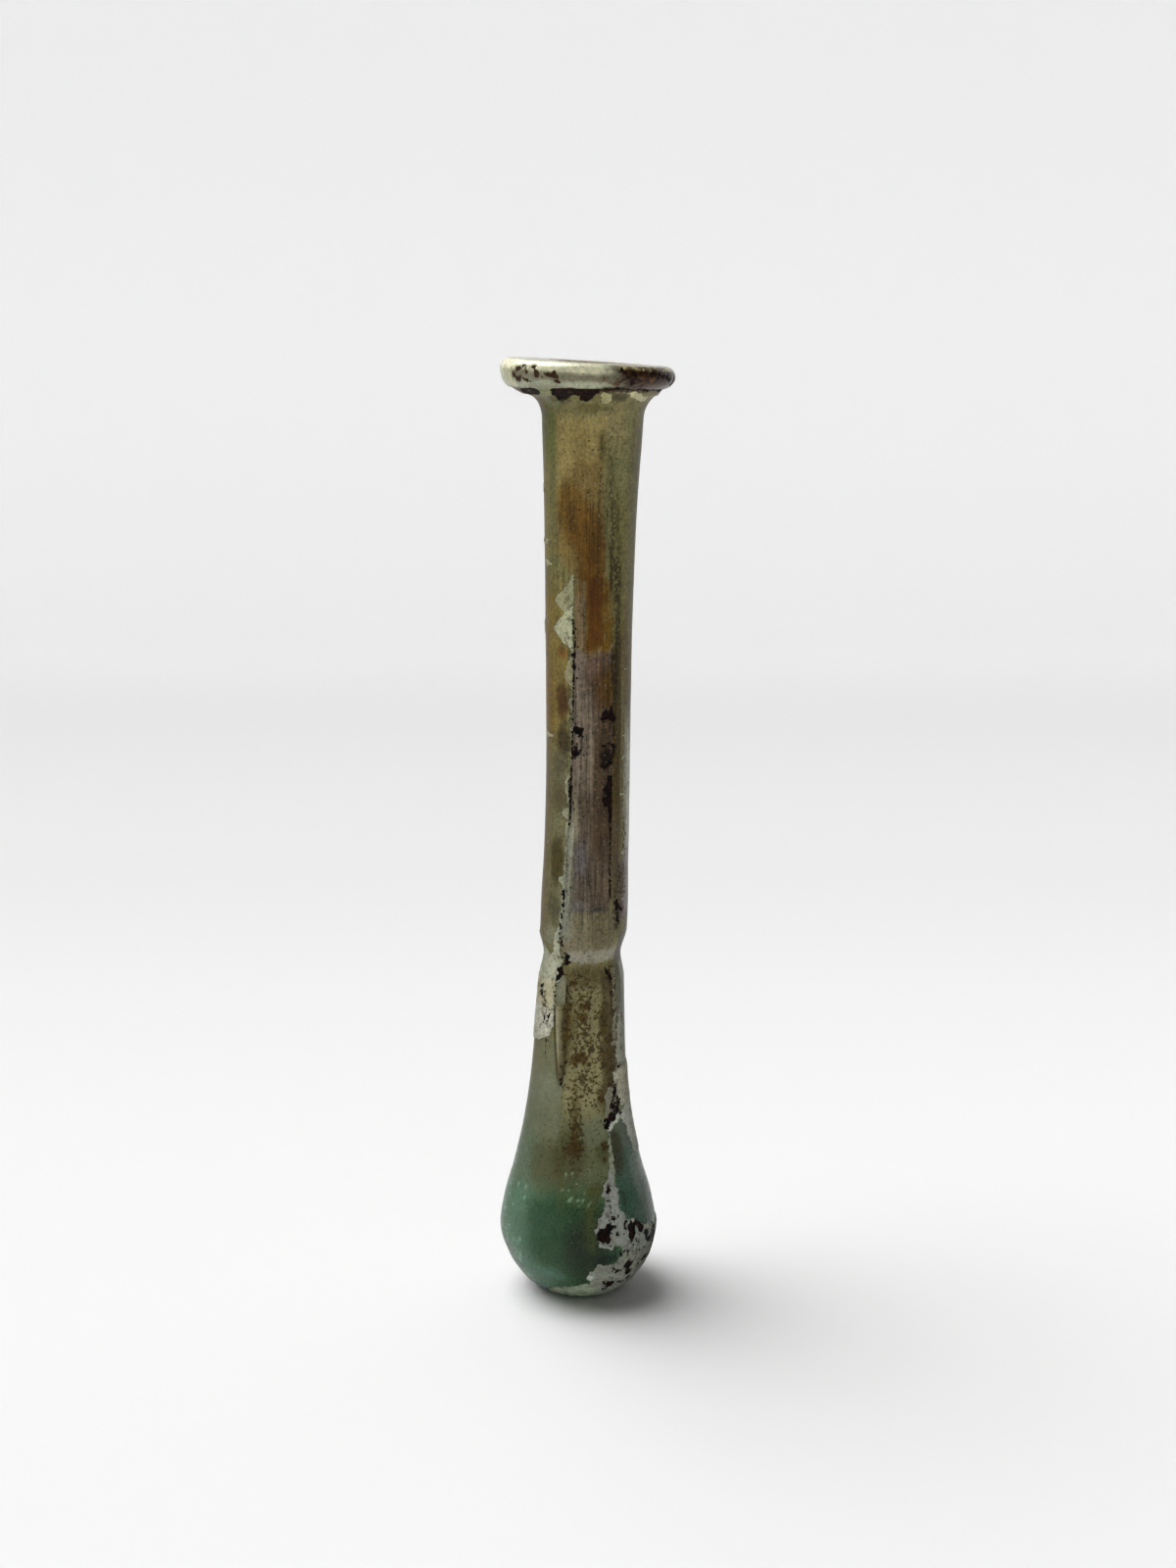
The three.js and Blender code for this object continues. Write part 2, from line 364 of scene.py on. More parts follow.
# painted glints: small bright specks where nicks in the bare glass catch the light
luck = np.random.default_rng(47)
for i in range(46):
    t0, h0 = -86 + 40 * luck.random() ** 1.6, 2.5 + 15 * luck.random()
    lay(soft(oval(t0, h0, 0.1 + 0.16 * luck.random(), 0.08 + 0.32 * luck.random() ** 2, 0) + 0.05 * CHIP2, 0.06), (138, 176, 156), 0.85)
for i in range(16):
    t0, h0 = -14 + 26 * luck.random(), 15.5 + 4.5 * luck.random()
    lay(soft(oval(t0, h0, 0.1 + 0.12 * luck.random(), 0.08 + 0.14 * luck.random(), 0) + 0.05 * CHIP2, 0.06), (122, 146, 116), 0.8)

# lower neck: olive and beige films
lay(band(28, 49.4, 2.5, 0.4, H + 1.4 * WOB) * band(-19, 34, 2.5, 4, T + 5 * WOB2), (118, 113, 82))
lay(soft(oval(8, 47.4, 4.2, 1.5, 0) + 0.7 * WOB2, 0.8), (86, 80, 55), 0.9)
lay(soft(oval(-12, 40.5, 0.9, 3.4, 0) + 0.5 * WOB2, 0.5), (76, 70, 44), 0.7)
lay(band(24, 38.0, 2, 1, H + WOB) * band(-95, -20, 10, 4, T + 5 * WOB), (101, 103, 81), 0.9)
lay(soft(oval(-55, 31.5, 3.0, 2.6, 0) + 1.0 * WOB2, 1.0), (108, 112, 92), 0.8)
lay(band(30, 48.0, 1.4, 0.8, H + 1.2 * WOB2) * band(28, 53, 2.5, 3, T + 5 * WOB2 + 3 * DRAW2), (73, 67, 48), 0.95)
lay(soft(oval(31, 40.8, 0.7, 1.5, 0) + 0.4 * WOB2, 0.4), (56, 51, 30), 0.8)
lay(soft(oval(42, 34.5, 1.0, 2.6, 0) + 0.5 * WOB2, 0.5), (58, 56, 36), 0.8)
lay(soft(oval(40, 44.2, 0.9, 0.8, 0) + 0.3 * WOB2, 0.3), (90, 84, 60), 0.8)
lay(band(33, 46, 1.5, 1.5, H + WOB) * band(54, 100, 2.5, 8, T + 5 * WOB2), (103, 105, 95), 0.95)
lay(band(42.5, 49, 1, 1, H + WOB2) * band(55, 67, 3, 3, T + 3 * WOB2), (76, 79, 64), 0.9)
# dull green at the neck's foot on the left of the spear
lay(soft(oval(-27, 45.2, 1.3, 2.1, 0) + 0.3 * WOB2, 0.3), (106, 108, 90), 0.95)

# the beige film above the waist
lay(band(49.4, 57.0, 0.3, 1.5, H + 0.6 * WOB2) * band(-34, 46, 3, 3, T + 4 * WOB2), (106, 101, 80))
lay(band(51, 57, 0.8, 1.5, H + 0.5 * WOB2) * band(8, 44, 6, 4, T), (88, 82, 63), 0.7)
lay(band(49.3, 51.0, 0.12, 0.5, H + 0.35 * WOB2 + 0.12 * np.cos(T / 3.1)) * band(-24, 54, 2.5, 3, T), (126, 124, 110), 0.95)
lay(band(48.6, 53, 0.5, 1.0, H) * band(55, 100, 2.5, 8, T + 3 * WOB2), (82, 78, 74), 0.95)

# neck, left column: golden above, olive below, with dark clouds along the film's edge
lay(band(53, 82, 2, 4, H + WOB) * band(-110, -29, 10, 1.5, T + 3 * WOB2), (99, 97, 72), 0.95)
lay(band(80, 101, 4, 4, H + WOB) * band(-105, -29, 10, 2, T + 3 * WOB2 + 4 * DRAW), (116, 103, 60), 0.95)
lay(soft(oval(-60, 85, 1.0, 4.5, 0) + 0.5 * DRAW, 0.7), (106, 88, 44), 0.8)
lay(soft(oval(-37, 92.0, 0.95, 0.75, 0) + 0.25 * WOB2, 0.3), (102, 76, 42), 0.9)
lay(soft(oval(-37, 85.6, 1.15, 2.6, 0) + 0.55 * WOB2, 0.6), (66, 49, 35), 0.95)
lay(soft(oval(-36, 80.2, 1.15, 2.3, 0) + 0.5 * WOB2, 0.5), (60, 55, 41), 0.95)
lay(soft(oval(-42, 77.0, 1.3, 1.5, 0) + 0.5 * WOB2, 0.5), (82, 80, 62), 0.9)
lay(soft(oval(-41, 72.5, 1.4, 2.0, 0) + 0.6 * WOB2, 0.7), (78, 73, 54), 0.85)
lay(soft(oval(-50, 68.6, 1.9, 1.3, 0) + 0.5 * WOB2, 0.6), (105, 104, 77), 0.9)
lay(soft(oval(-42, 63.4, 1.35, 3.2, 0) + 0.6 * WOB2, 0.6), (62, 59, 38), 0.95)
lay(soft(oval(-44, 57.0, 1.3, 1.8, 0) + 0.5 * WOB2, 0.6), (76, 77, 58), 0.9)
lay(soft(oval(-50, 53.0, 1.6, 1.3, 0) + 0.4 * WOB2, 0.5), (110, 112, 92), 0.9)
lay(band(53, 80, 2, 4, H) * band(-110, -62, 8, 5, T + 3 * DRAW), (100, 94, 69), 0.8)

# neck, the long mauve film in front with its paler left border
left = np.interp(H, [50, 56, 62, 70, 76, 84, 92], [-32.5, -31, -29, -26.5, -23.5, -21.5, -20.5])
over = step(-1.2, 1.2, T - left + 3 * WOB2)
lay(band(56.6, 92.8, 0.7, 0.6, H + 0.9 * WOB2 + 0.4 * CHIP_UP) * over * (1 - step(33.5, 38.5, T + 3 * WOB2)), (80, 71, 60))
lay(band(64, 91.5, 3, 1.5, H + WOB2) * band(7, 37, 5, 1.5, T + 3 * DRAW), (61, 51, 41), 0.85)
lay(band(74, 92.6, 2, 0.6, H + 0.5 * WOB2) * over * (1 - step(-8, 4, T + 5 * DRAW)), (100, 91, 80), 0.9)
lay(band(53, 72, 1, 4, H + WOB2) * over * (1 - step(-18, -8, T + 5 * DRAW)), (113, 109, 91), 0.95)
lay(band(52.5, 69, 1, 3, H) * over * (1 - step(-22, -14, T + 4 * DRAW2)), (118, 120, 106), 0.8)
lay(soft(oval(-2, 83.5, 1.2, 5.4) + 0.5 * DRAW, 0.8), (95, 86, 74), 0.85)
lay(soft(oval(3, 78, 0.35, 5.6) + 0.15 * DRAW2, 0.2), (122, 112, 96), 0.6)
lay(soft(oval(5, 89.8, 1.1, 2.3) + 0.3 * DRAW, 0.5), (93, 77, 66), 0.85)
lay(soft(oval(16, 87.4, 1.0, 2.6) + 0.3 * DRAW2, 0.5), (70, 54, 37), 0.9)
lay(soft(oval(27, 87.0, 0.8, 2.6) + 0.3 * DRAW2, 0.4), (72, 56, 31), 0.9)
lay(soft(oval(-4, 62, 1.6, 4.4) + 0.6 * DRAW, 0.9), (72, 67, 60), 0.75)
lay(soft(oval(-8, 64, 0.9, 2.6) + 0.4 * DRAW, 0.5), (84, 82, 82), 0.7)
lay(soft(oval(17, 57.0, 1.0, 0.42) + 0.25 * WOB2, 0.22), (50, 52, 52), 0.9)
lay(soft(oval(-9, 57.4, 1.7, 0.8) + 0.4 * WOB2, 0.4), (88, 88, 86), 0.6)
lay(soft(oval(26, 77.9, 1.05, 1.4) + 0.35 * WOB2, 0.3), (22, 24, 22), 0.98)

# neck, right side: brown band, then grey-green glass, purple low down
lay(band(62, 101, 4, 3, H + 2 * WOB) * band(36, 50, 1.5, 3, T + 4 * DRAW), (60, 50, 28), 0.95)
lay(band(58, 70, 2, 2, H + WOB2) * band(37, 50, 1.5, 3, T + 3 * DRAW), (76, 67, 52), 0.9)
lay(band(64, 92, 2, 3, H) * band(52, 110, 3.5, 8, T + 5 * DRAW), (88, 80, 56), 0.95)
lay(band(63, 83, 2, 3, H + 2 * WOB) * band(59, 110, 4, 8, T + 6 * DRAW + 3 * WOB2), (126, 127, 110), 0.9)
lay(band(64, 80, 2, 3, H + 2 * WOB) * band(66, 110, 3, 8, T + 6 * DRAW), (172, 175, 160), 0.9)
lay(band(54.5, 63.5, 0.9, 0.8, H + 0.8 * WOB2) * band(50, 100, 2.5, 8, T + 4 * WOB2), (94, 83, 80), 0.95)
lay(band(56, 66, 1.5, 1.5, H + 0.8 * WOB2) * band(63, 110, 4, 8, T + 4 * WOB2), (142, 138, 136), 0.85)
lay(band(90, 122, 4, 2, H) * band(50, 110, 5, 8, T + 3 * DRAW), (92, 90, 64), 0.95)
lay(band(94, 113, 2, 2, H + WOB) * band(29, 52, 3, 3, T + 3 * DRAW), (96, 92, 58), 0.9)
lay(soft(oval(56, 93, 0.8, 5.0) + 0.4 * DRAW, 0.5), (86, 68, 46), 0.6)

for places, w, share in (([(27, 106), (28.5, 100), (31, 95), (34, 90), (37, 85), (38.5, 81)], 0.13, 0.85), ([(41, 106), (42, 99), (42, 93), (40.5, 89)], 0.09, 0.8), ([(37.5, 92), (38.5, 86)], 0.3, 0.85),
                         ([(22, 118.5), (24, 112), (26, 106)], 0.08, 0.6), ([(34, 113), (38, 106)], 0.08, 0.6), ([(10, 119), (10.5, 112), (11, 104)], 0.05, 0.7), ([(16, 99.5), (16.5, 94)], 0.04, 0.4)):
    lay(soft(stroke(places, w) + 0.16 * CHIP_UP + 0.12 * CHIP2 + 0.04 * DRAW2, 0.07), (33, 30, 13), share)

# top of the neck
lay(band(103, 118, 3, 3, H) * band(-110, -58, 10, 5, T + 4 * WOB2), (119, 115, 75), 0.9)
lay(band(112.5, 123.5, 2, 1.5, H + WOB) * band(-46, 16, 5, 6, T + 5 * WOB), (132, 119, 76), 0.95)
lay(band(117.5, 126, 1.6, 1.0, H + WOB) * band(-110, -47, 10, 5, T + 4 * WOB), (96, 104, 62), 0.95)
lay(soft(oval(-12, 119.6, 1.5, 2.4, 0) + 0.6 * WOB2, 0.8), (106, 94, 55), 0.45)
lay(band(118.5, 125, 2, 1.0, H + WOB) * band(14, 42, 4, 6, T + 5 * WOB), (116, 108, 75), 0.9)
lay(soft(oval(12, 119, 0.5, 2.0, 0) + 0.3 * WOB2, 0.3), (84, 78, 46), 0.8)
lay(soft(oval(22, 112, 0.8, 6.6, -5) + 0.3 * DRAW2, 0.5), (94, 92, 62), 0.85)

# amber and red-brown stain running down the neck
lay(soft(patch((-48, 111.5), (-36, 115), (-14, 117.5), (10, 117.5), (15, 108), (18, 101), (30, 98), (29, 92.6), (-5, 92.2), (-5, 100.8), (-14, 101.8), (-24, 102.6), (-46, 105)) + 0.6 * WOB2 + 0.4 * DRAW, 1.0), (108, 91, 54), 0.9)
for t0, h0, a, b, colour, share in (
    (-25, 111.4, 2.1, 2.8, (95, 74, 38), 0.95), (-18, 108.6, 1.8, 2.6, (91, 71, 37), 0.9), (-3, 107.6, 2.1, 4.2, (88, 65, 32), 0.95),
    (3, 103.4, 1.7, 4.0, (81, 58, 27), 0.95), (9, 106, 0.9, 2.4, (80, 57, 28), 0.8)):
    lay(soft(oval(t0, h0, a, b) + 0.5 * WOB2 + 0.35 * DRAW, 0.8), colour, share)
lay(soft(patch((-6, 102), (16, 102.5), (24, 100), (23, 92.7), (8, 92.5), (-4, 92.7)) + 0.45 * WOB2 + 0.35 * CHIP_UP + 0.35 * DRAW, 0.7), (76, 50, 17), 0.97)
lay(soft(oval(6, 99.5, 0.95, 2.4) + 0.4 * WOB2 + 0.2 * DRAW2, 0.5), (68, 43, 14), 0.8)
lay(soft(patch((20, 101), (31, 99), (31, 92.6), (21, 92.7)) + 0.4 * WOB2 + 0.3 * CHIP_UP + 0.35 * DRAW2, 0.5), (88, 67, 28), 0.9)
lay(band(92.8, 101.5, 0.5, 0.8, H + 0.3 * WOB2) * band(-19, -5, 1.5, 1.5, T + 3 * DRAW2), (97, 83, 62), 0.95)
lay(soft(oval(-12, 100.5, 0.9, 0.9) + 0.2 * WOB2, 0.5), (95, 78, 45), 0.7)

# ------------------------------------------------------------------ flaking crust
crust = np.full(T.shape, -9.0)
ctone = np.zeros(T.shape + (3,)) + lin(128, 128, 110)
STEP = np.zeros(T.shape)       # how far each flake stands up


def flake(sdf, colour, jag=0.18, big=0.2, up=0.14):
    global crust, ctone, STEP
    sdf = sdf + jag * (0.6 * CHIP + 0.5 * CHIP2) + 0.35 * jag * JAG + big * WOB2
    take = sdf > crust
    ctone = np.where(take[..., None], lin(*colour), ctone)
    STEP = np.where(take, up, STEP)
    crust = np.maximum(crust, sdf)


# cream flake beside the upper crack, a duller one above it
flake(patch((-20.5, 102.6), (-30, 101), (-45, 99.6), (-50, 99), (-44, 98.2), (-34, 97.4), (-20.5, 98.6)), (130, 129, 98), 0.12, 0.1, 0.08)
flake(patch((-20.5, 98.6), (-36, 97.2), (-46, 96), (-53.5, 95.3), (-42, 94.1), (-34, 93.3), (-21, 92.4)), (150, 151, 122), 0.14, 0.06)
flake(patch((-20.5, 92.4), (-24, 92.0), (-27, 91.0), (-34, 88.9), (-30, 88.3), (-23, 87.6), (-21, 84)), (122, 116, 88), 0.12, 0.08, 0.09)
flake(patch((-21, 86.2), (-28, 85.8), (-25, 84.8), (-22, 83.8)), (112, 105, 84), 0.1, 0.04, 0.08)
flake(stroke([(-22, 84), (-22.6, 81), (-22.8, 76.5)], 0.1, 0.12), (132, 126, 106), 0.14, 0.06)
flake(stroke([(-22, 83.0), (-34, 82.6)], 0.2, 0.0), (126, 120, 98), 0.08, 0.02)
flake(stroke([(-22, 81.6), (-29, 81.4)], 0.14, 0.0), (120, 114, 94), 0.08, 0.02)
flake(stroke([(-22, 78.4), (-27, 78.0)], 0.12, 0.02), (120, 116, 98), 0.08, 0.02)
flake(patch((-23, 76.2), (-25, 76.0), (-32, 74.6), (-31, 73.4), (-27, 71.2), (-24.4, 71)), (122, 120, 98), 0.14, 0.05)
flake(patch((-24.6, 71.2), (-30, 71.0), (-38, 70.3), (-31, 69.6), (-25, 69)), (122, 121, 98), 0.12, 0.04)
flake(stroke([(-26.6, 69.2), (-28.4, 66), (-28.8, 62.5)], 0.14, 0.16), (120, 119, 96), 0.24, 0.15, 0.1)
flake(stroke([(-29.6, 60), (-30.6, 57), (-32, 53)], 0.2, 0.3), (140, 142, 122), 0.2, 0.1, 0.1)
flake(patch((-26, 62.2), (-33, 61.4), (-41.5, 61.0), (-34, 60.5), (-28, 59.8)), (124, 127, 106), 0.08, 0.02)
flake(patch((-31, 55.2), (-34, 54.8), (-41, 52.5), (-33, 52.2)), (134, 136, 116), 0.12, 0.05)
# cream crust at and below the waist on the left
flake(patch((-98, 51.2), (-90, 52.6), (-78, 52), (-64, 50.6), (-55, 49.8), (-47, 50.6), (-40, 52.4), (-34, 51.6), (-31, 49.4), (-33, 46.2), (-88, 46), (-93, 48.4)), (146, 147, 126), 0.2, 0.12)
flake(patch((-96, 46.6), (-80, 46.9), (-60, 46.6), (-44, 46.9), (-36, 46.4), (-37, 42.4), (-90, 42.6), (-103, 43.6), (-99, 45.2)), (156, 151, 124), 0.16, 0.1, 0.16)
flake(patch((-100, 42.9), (-60, 42.6), (-37.5, 42.2), (-36, 40), (-45, 38.4), (-66, 37.4), (-84, 36.9), (-95, 38.4), (-92, 40.4), (-104, 41.6)), (164, 163, 146), 0.18, 0.08, 0.18)
# right: cream crust, its grey lower part, and the grey one left of it
flake(patch((44, 33.2), (52, 33.9), (66, 33.6), (84, 34.0), (97, 32.2), (90, 30.4), (99, 28.6), (66, 28.2), (58, 28.0), (52, 29.4), (48, 31.2)), (134, 131, 114), 0.16, 0.15, 0.17)
flake(patch((32, 29.8), (37, 31.4), (44, 31.2), (50, 31), (53, 28.6), (47, 27), (36, 26.2), (31, 27)), (92, 90, 75), 0.25, 0.2, 0.1)
flake(patch((33, 25.8), (44, 27.3), (56, 27.5), (70, 28.2), (99, 28.6), (106, 26.2), (95, 24.6), (97, 21.8), (88, 20.2), (78, 20.4), (67, 21.0), (65, 22.8), (61, 25.3), (52, 26.4), (44, 26.1), (36, 24.8)), (138, 140, 128), 0.2, 0.15, 0.13)
# the seam down to the crusted foot
lay(soft(oval(29.2, 30.0, 0.8, 1.7, 0) + 0.4 * WOB2, 0.5), (60, 54, 33), 0.85)
flake(stroke([(33, 27), (34, 24), (34, 21.5), (32.5, 18)], 0.14, 0.5), (102, 106, 88), 0.2, 0.14, 0.1)
flake(patch((30, 20.5), (35.6, 19.5), (35.0, 14.6), (37, 13.9), (42, 13.0), (50, 11.9), (62, 10.5), (78, 9.9), (88, 10.6), (101, 9.2), (95, 7.4), (60, 7.6), (34, 8.8), (30, 9.5), (22, 9.3), (15, 9.9),
             (16, 11.0), (12.8, 12.2), (16, 12.9), (18.5, 14.2), (21, 15.2), (24, 16.2), (21, 17.6), (27, 18.6)), (106, 109, 102), 0.38, 0.18)
flake(stroke([(44, 12.6), (56, 11.0), (70, 9.8), (90, 9.4)], 0.3, 0.35), (124, 124, 108), 0.2, 0.1, 0.16)
flake(patch((34, 8.7), (60, 7.9), (95, 7.6), (95, 9.2), (60, 9.4), (38, 9.6)), (86, 88, 82), 0.15, 0.1, 0.1)
flake(patch((30, 7.3), (36, 8.7), (60, 7.8), (95, 7.6), (95, 0.4), (10, 0.4), (6, 3.0), (8.5, 4.4), (8, 6.0), (13, 6.3), (15, 7.2), (24, 6.8)), (98, 100, 90), 0.3, 0.2)
flake(oval(12.5, 5.1, 1.25, 0.8, 8), (128, 134, 126), 0.25, 0.1, 0.18)
flake(stroke([(-44, 0.2), (-26, 1.3), (-8, 1.7), (8, 2.2)], 0.7, 1.7), (104, 113, 96), 0.2, 0.12, 0.08)
# little chips along the left edge
for t0, h0, a, b in ((-74, 106.6, 1.5, 0.45), (-72, 103.8, 1.3, 0.4), (-68, 80.5, 1.35, 0.42), (-80, 113.5, 0.6, 0.9), (-84, 95, 0.4, 1.2)):
    flake(oval(t0, h0, a, b), (150, 145, 112), 0.14, 0.05, 0.1)

# small cream flecks on the right of the neck, and torn strips below the waist
luck = np.random.default_rng(41)
for i in range(34):
    t0, h0 = 50 + 24 * luck.random(), 52 + 40 * luck.random() ** 1.4
    flake(oval(t0, h0, 0.14 + 0.22 * luck.random(), 0.06 + 0.16 * luck.random() ** 2, 0), (132, 130, 112), 0.1, 0.03, 0.06)
for i in range(14):
    t0, h0 = -86 + 22 * luck.random(), 4 + 112 * luck.random()
    flake(oval(t0, h0, 0.14 + 0.2 * luck.random(), 0.1 + 0.3 * luck.random() ** 2, 0), (140, 138, 112), 0.1, 0.03, 0.06)
flake(stroke([(47.5, 47.8), (46.5, 45.0), (49.5, 42.8)], 0.22, 0.34), (96, 90, 68), 0.4, 0.25, 0.05)
flake(stroke([(52, 41.6), (49.5, 39.6), (47.5, 37.4)], 0.24, 0.34), (98, 97, 80), 0.4, 0.25, 0.05)
flake(patch((58, 41.5), (70, 41), (80, 38), (74, 34.6), (56, 34.4), (50, 35.6), (54, 38)), (118, 119, 104), 0.3, 0.2, 0.08)

# ------------------------------------------------------------------ dark pits and cracks where the surface has gone, and a painted shadow under the rim
pit_and_shade = np.full(T.shape, -9.0)


def dark(sdf, jag=0.22, big=0.08):
    global pit_and_shade
    pit_and_shade = np.maximum(pit_and_shade, sdf + 0.05 + jag * (0.55 * CHIP2 + 0.45 * CHIP) + 0.4 * jag * JAG + big * WOB2)


def crack(places, w0, w1=None):
    global pit_and_shade
    pit_and_shade = np.maximum(pit_and_shade, stroke(places, w0 + 0.06, (w0 if w1 is None else w1) + 0.05) + 0.03 * CHIP2)


# front crack: from the cream flake down the pale border
crack([(-21.5, 96.6), (-20.8, 95.0), (-19.6, 93.6), (-18.6, 92.6), (-18.4, 91.6)], 0.04, 0.02)
crack([(-21.0, 96.4), (-19.2, 94.6), (-18.0, 93.0), (-18.4, 91.8)], 0.03, 0.04)
dark(oval(-19, 90.2, 0.2, 0.75, 10), 0.3, 0.05)
crack([(-19.6, 91.6), (-20, 88.4), (-20.5, 85.6)], 0.06, 0.07)
crack([(-20.6, 85.6), (-21.4, 82.4)], 0.05, 0.03)
dark(patch((-20.5, 82.4), (-13, 82.1), (-6.5, 82.0), (-9.0, 80.6), (-12, 81.0), (-17, 81.3), (-21, 81.6)), 0.14, 0.04)
crack([(-21.8, 81.8), (-21.8, 79.6), (-21.6, 77.8)], 0.06, 0.1)
dark(stroke([(-21.6, 80.2), (-19, 80.4)], 0.1, 0.05), 0.1, 0.03)
dark(stroke([(-21.5, 78.0), (-18, 78.4), (-15, 79.9)], 0.26, 0.12), 0.2, 0.05)
dark(stroke([(-17, 78.6), (-12, 78.7), (-6.5, 79.9)], 0.28, 0.06), 0.2, 0.05)
dark(oval(-17.5, 78.7, 0.5, 0.55), 0.2, 0.05)
crack([(-22.6, 76.9), (-23.2, 74.8), (-23.4, 71), (-23.6, 68.6)], 0.07, 0.12)
dark(oval(-24.2, 73.6, 0.22, 1.0), 0.12, 0.05)
for t0, h0 in ((-28.6, 59.0), (-29.4, 57.6), (-30.8, 56), (-31.3, 54.4), (-31.0, 52.9)):
    dark(oval(t0, h0, 0.13, 0.6, 8), 0.16, 0.04)
# waist
dark(patch((-29, 50.4), (-26, 50.8), (-21, 50.6), (-20, 49.2), (-24, 48.9), (-27, 49.3)), 0.34, 0.08)
dark(patch((-36, 48.6), (-31, 48.9), (-26, 48.6), (-28, 47.8), (-32, 47.5), (-34, 46.9), (-36, 47.5)), 0.4, 0.1)
crack([(-35.6, 47.0), (-37.2, 45.6), (-36.8, 44.6)], 0.04, 0.0)
# lines in the cream crust
crack([(-68, 45.4), (-63.5, 45.2), (-60.5, 45.5)], 0.07, 0.09)
crack([(-69, 44.2), (-64, 44.5), (-60, 43.8), (-56, 43.7)], 0.1, 0.09)
crack([(-66.5, 45.4), (-66.2, 44.3)], 0.06)
crack([(-61.5, 45.3), (-60.5, 43.8)], 0.09)
dark(oval(-62, 43.9, 0.24, 0.16), 0.2, 0.05)
crack([(-56, 44.6), (-53, 43.0), (-49.5, 41.8)], 0.03, 0.06)
crack([(-53, 40.9), (-49, 41.8), (-43.0, 41.5), (-47, 40.6), (-53, 40.9)], 0.09)
dark(oval(-45.6, 41.3, 0.2, 0.2), 0.12, 0.03)
crack([(-57, 40.0), (-53.5, 40.4)], 0.07)
crack([(-47.8, 38.2), (-46.8, 35.0)], 0.05, -0.02)
crack([(-41, 41.8), (-39, 40.6)], 0.0)
crack([(-88, 42.6), (-66, 42.5), (-52, 42.6)], -0.03)
# right front: black patches, the blue-black one and the long crack
dark(patch((14.5, 83.1), (19, 83.7), (24, 84.5), (28, 84.2), (33, 84.9), (35, 83.9), (39.5, 83.2), (34, 82.8), (28, 83.2), (20, 82.8)), 0.16, 0.05)
dark(stroke([(20, 79.5), (29, 79.8), (38, 79.4)], 0.16, 0.1), 0.2, 0.05)
crack([(35.6, 82.8), (36, 80)], 0.05)
dark(stroke([(16.5, 77.0), (24, 76.7), (28, 77.4), (31, 77.1), (39, 77.0)], 0.2, 0.1), 0.24, 0.05)
dark(oval(34.5, 78.4, 0.3, 0.5), 0.2, 0.05)
dark(patch((19.5, 72.0), (21.5, 73.6), (26, 74.3), (28.2, 75.5), (34, 75.2), (35, 71.6), (34.5, 69.4), (31.5, 68.7), (29.5, 71.2), (24, 71.3)), 0.12, 0.04)
dark(stroke([(33.4, 68.0), (33.6, 65.8)], 0.12, 0.1), 0.14, 0.03)
crack([(33.4, 65.4), (34.2, 61.4)], 0.05, 0.07)
dark(stroke([(33.6, 60.8), (35.2, 60.4), (34.4, 58.8)], 0.15, 0.08), 0.16, 0.03)
dark(stroke([(40.5, 58.0), (44, 57.0), (49, 56.2), (51, 54.8)], 0.06, 0.16), 0.5, 0.15)
dark(stroke([(45, 57.8), (52, 56.8), (58, 56.4)], 0.1, 0.12), 0.5, 0.15)
dark(stroke([(51, 61.4), (54, 60.8)], 0.09, 0.05), 0.3, 0.1)
dark(stroke([(36, 48.0), (42, 47.2), (45, 46.4)], 0.22, 0.1), 0.4, 0.1)
dark(stroke([(43, 45.0), (45, 44.2)], 0.12, 0.05), 0.3, 0.1)
# black torn patch over the seam
luck = np.random.default_rng(43)
for i in range(46):
    t0, h0 = 22 + 76 * luck.random(), 1 + 9.2 * luck.random()
    dark(oval(t0, h0, 0.08 + 0.24 * luck.random() ** 2, 0.08 + 0.2 * luck.random() ** 2, 60 * luck.random() - 30), 0.3, 0.05)
for a, b, c, d, w in ((31, 26.8, 35, 27.0, 0.28), (33, 25.8, 38, 27.8, 0.3), (36, 26.6, 41.5, 29.4, 0.26), (39.5, 26.8, 45, 30.4, 0.24), (43, 27.0, 48.5, 31.2, 0.26), (46.5, 27.6, 50.5, 29.8, 0.22),
                      (50, 27.8, 53.5, 29.0, 0.2), (53.5, 27.0, 58, 27.4, 0.16)):
    dark(stroke([(a, b), (c, d)], w, w * 0.5), 0.34, 0.05)
dark(stroke([(50, 33.5), (56, 33.8), (63, 33.6)], 0.09, 0.04), 0.12, 0.03)
# pits in the crusted foot
dark(patch((14.5, 11.2), (16.5, 12.4), (20, 12.7), (23.5, 12.6), (24.5, 11.2), (23, 10.1), (19.5, 10.3), (17, 10.8)), 0.46, 0.1)
dark(stroke([(23.5, 12.3), (27, 13.5), (31.5, 13.9)], 0.34, 0.2), 0.4, 0.06)
dark(stroke([(25.5, 13.2), (25, 14.2)], 0.14, 0.05), 0.2, 0.05)
dark(stroke([(26, 12.2), (30, 12.6)], 0.16, 0.06), 0.3, 0.06)
dark(oval(29.8, 11.4, 0.24, 0.2), 0.3, 0.06)
dark(patch((37, 13.2), (41, 12.9), (46, 11.9), (46.5, 10.7), (43, 9.8), (40, 10.6), (39, 12)), 0.5, 0.12)
dark(patch((49, 12.0), (53, 11.6), (56, 10.6), (54, 9.8), (50.5, 10.8)), 0.6, 0.14)
for t0, h0, a, b, rot in ((60, 9.9, 0.7, 0.3, -20), (65, 8.9, 0.8, 0.6, 0), (71, 9.2, 0.8, 0.7, 0), (77, 8.2, 0.8, 1.0, 0), (42, 6.0, 0.55, 0.8, 30), (44, 4.8, 0.5, 0.5, 0),
                          (26.5, 3.4, 0.6, 0.95, 10), (24, 2.4, 0.5, 0.4, 0), (47, 3.2, 0.7, 0.35, 0), (65, 5.8, 0.9, 0.5, 0), (80, 4.6, 0.8, 0.8, 0), (27.5, 17.4, 0.24, 0.36, 0), (62, 2.6, 0.8, 0.4, 0)):
    dark(oval(t0, h0, a, b, rot), 0.4, 0.1)
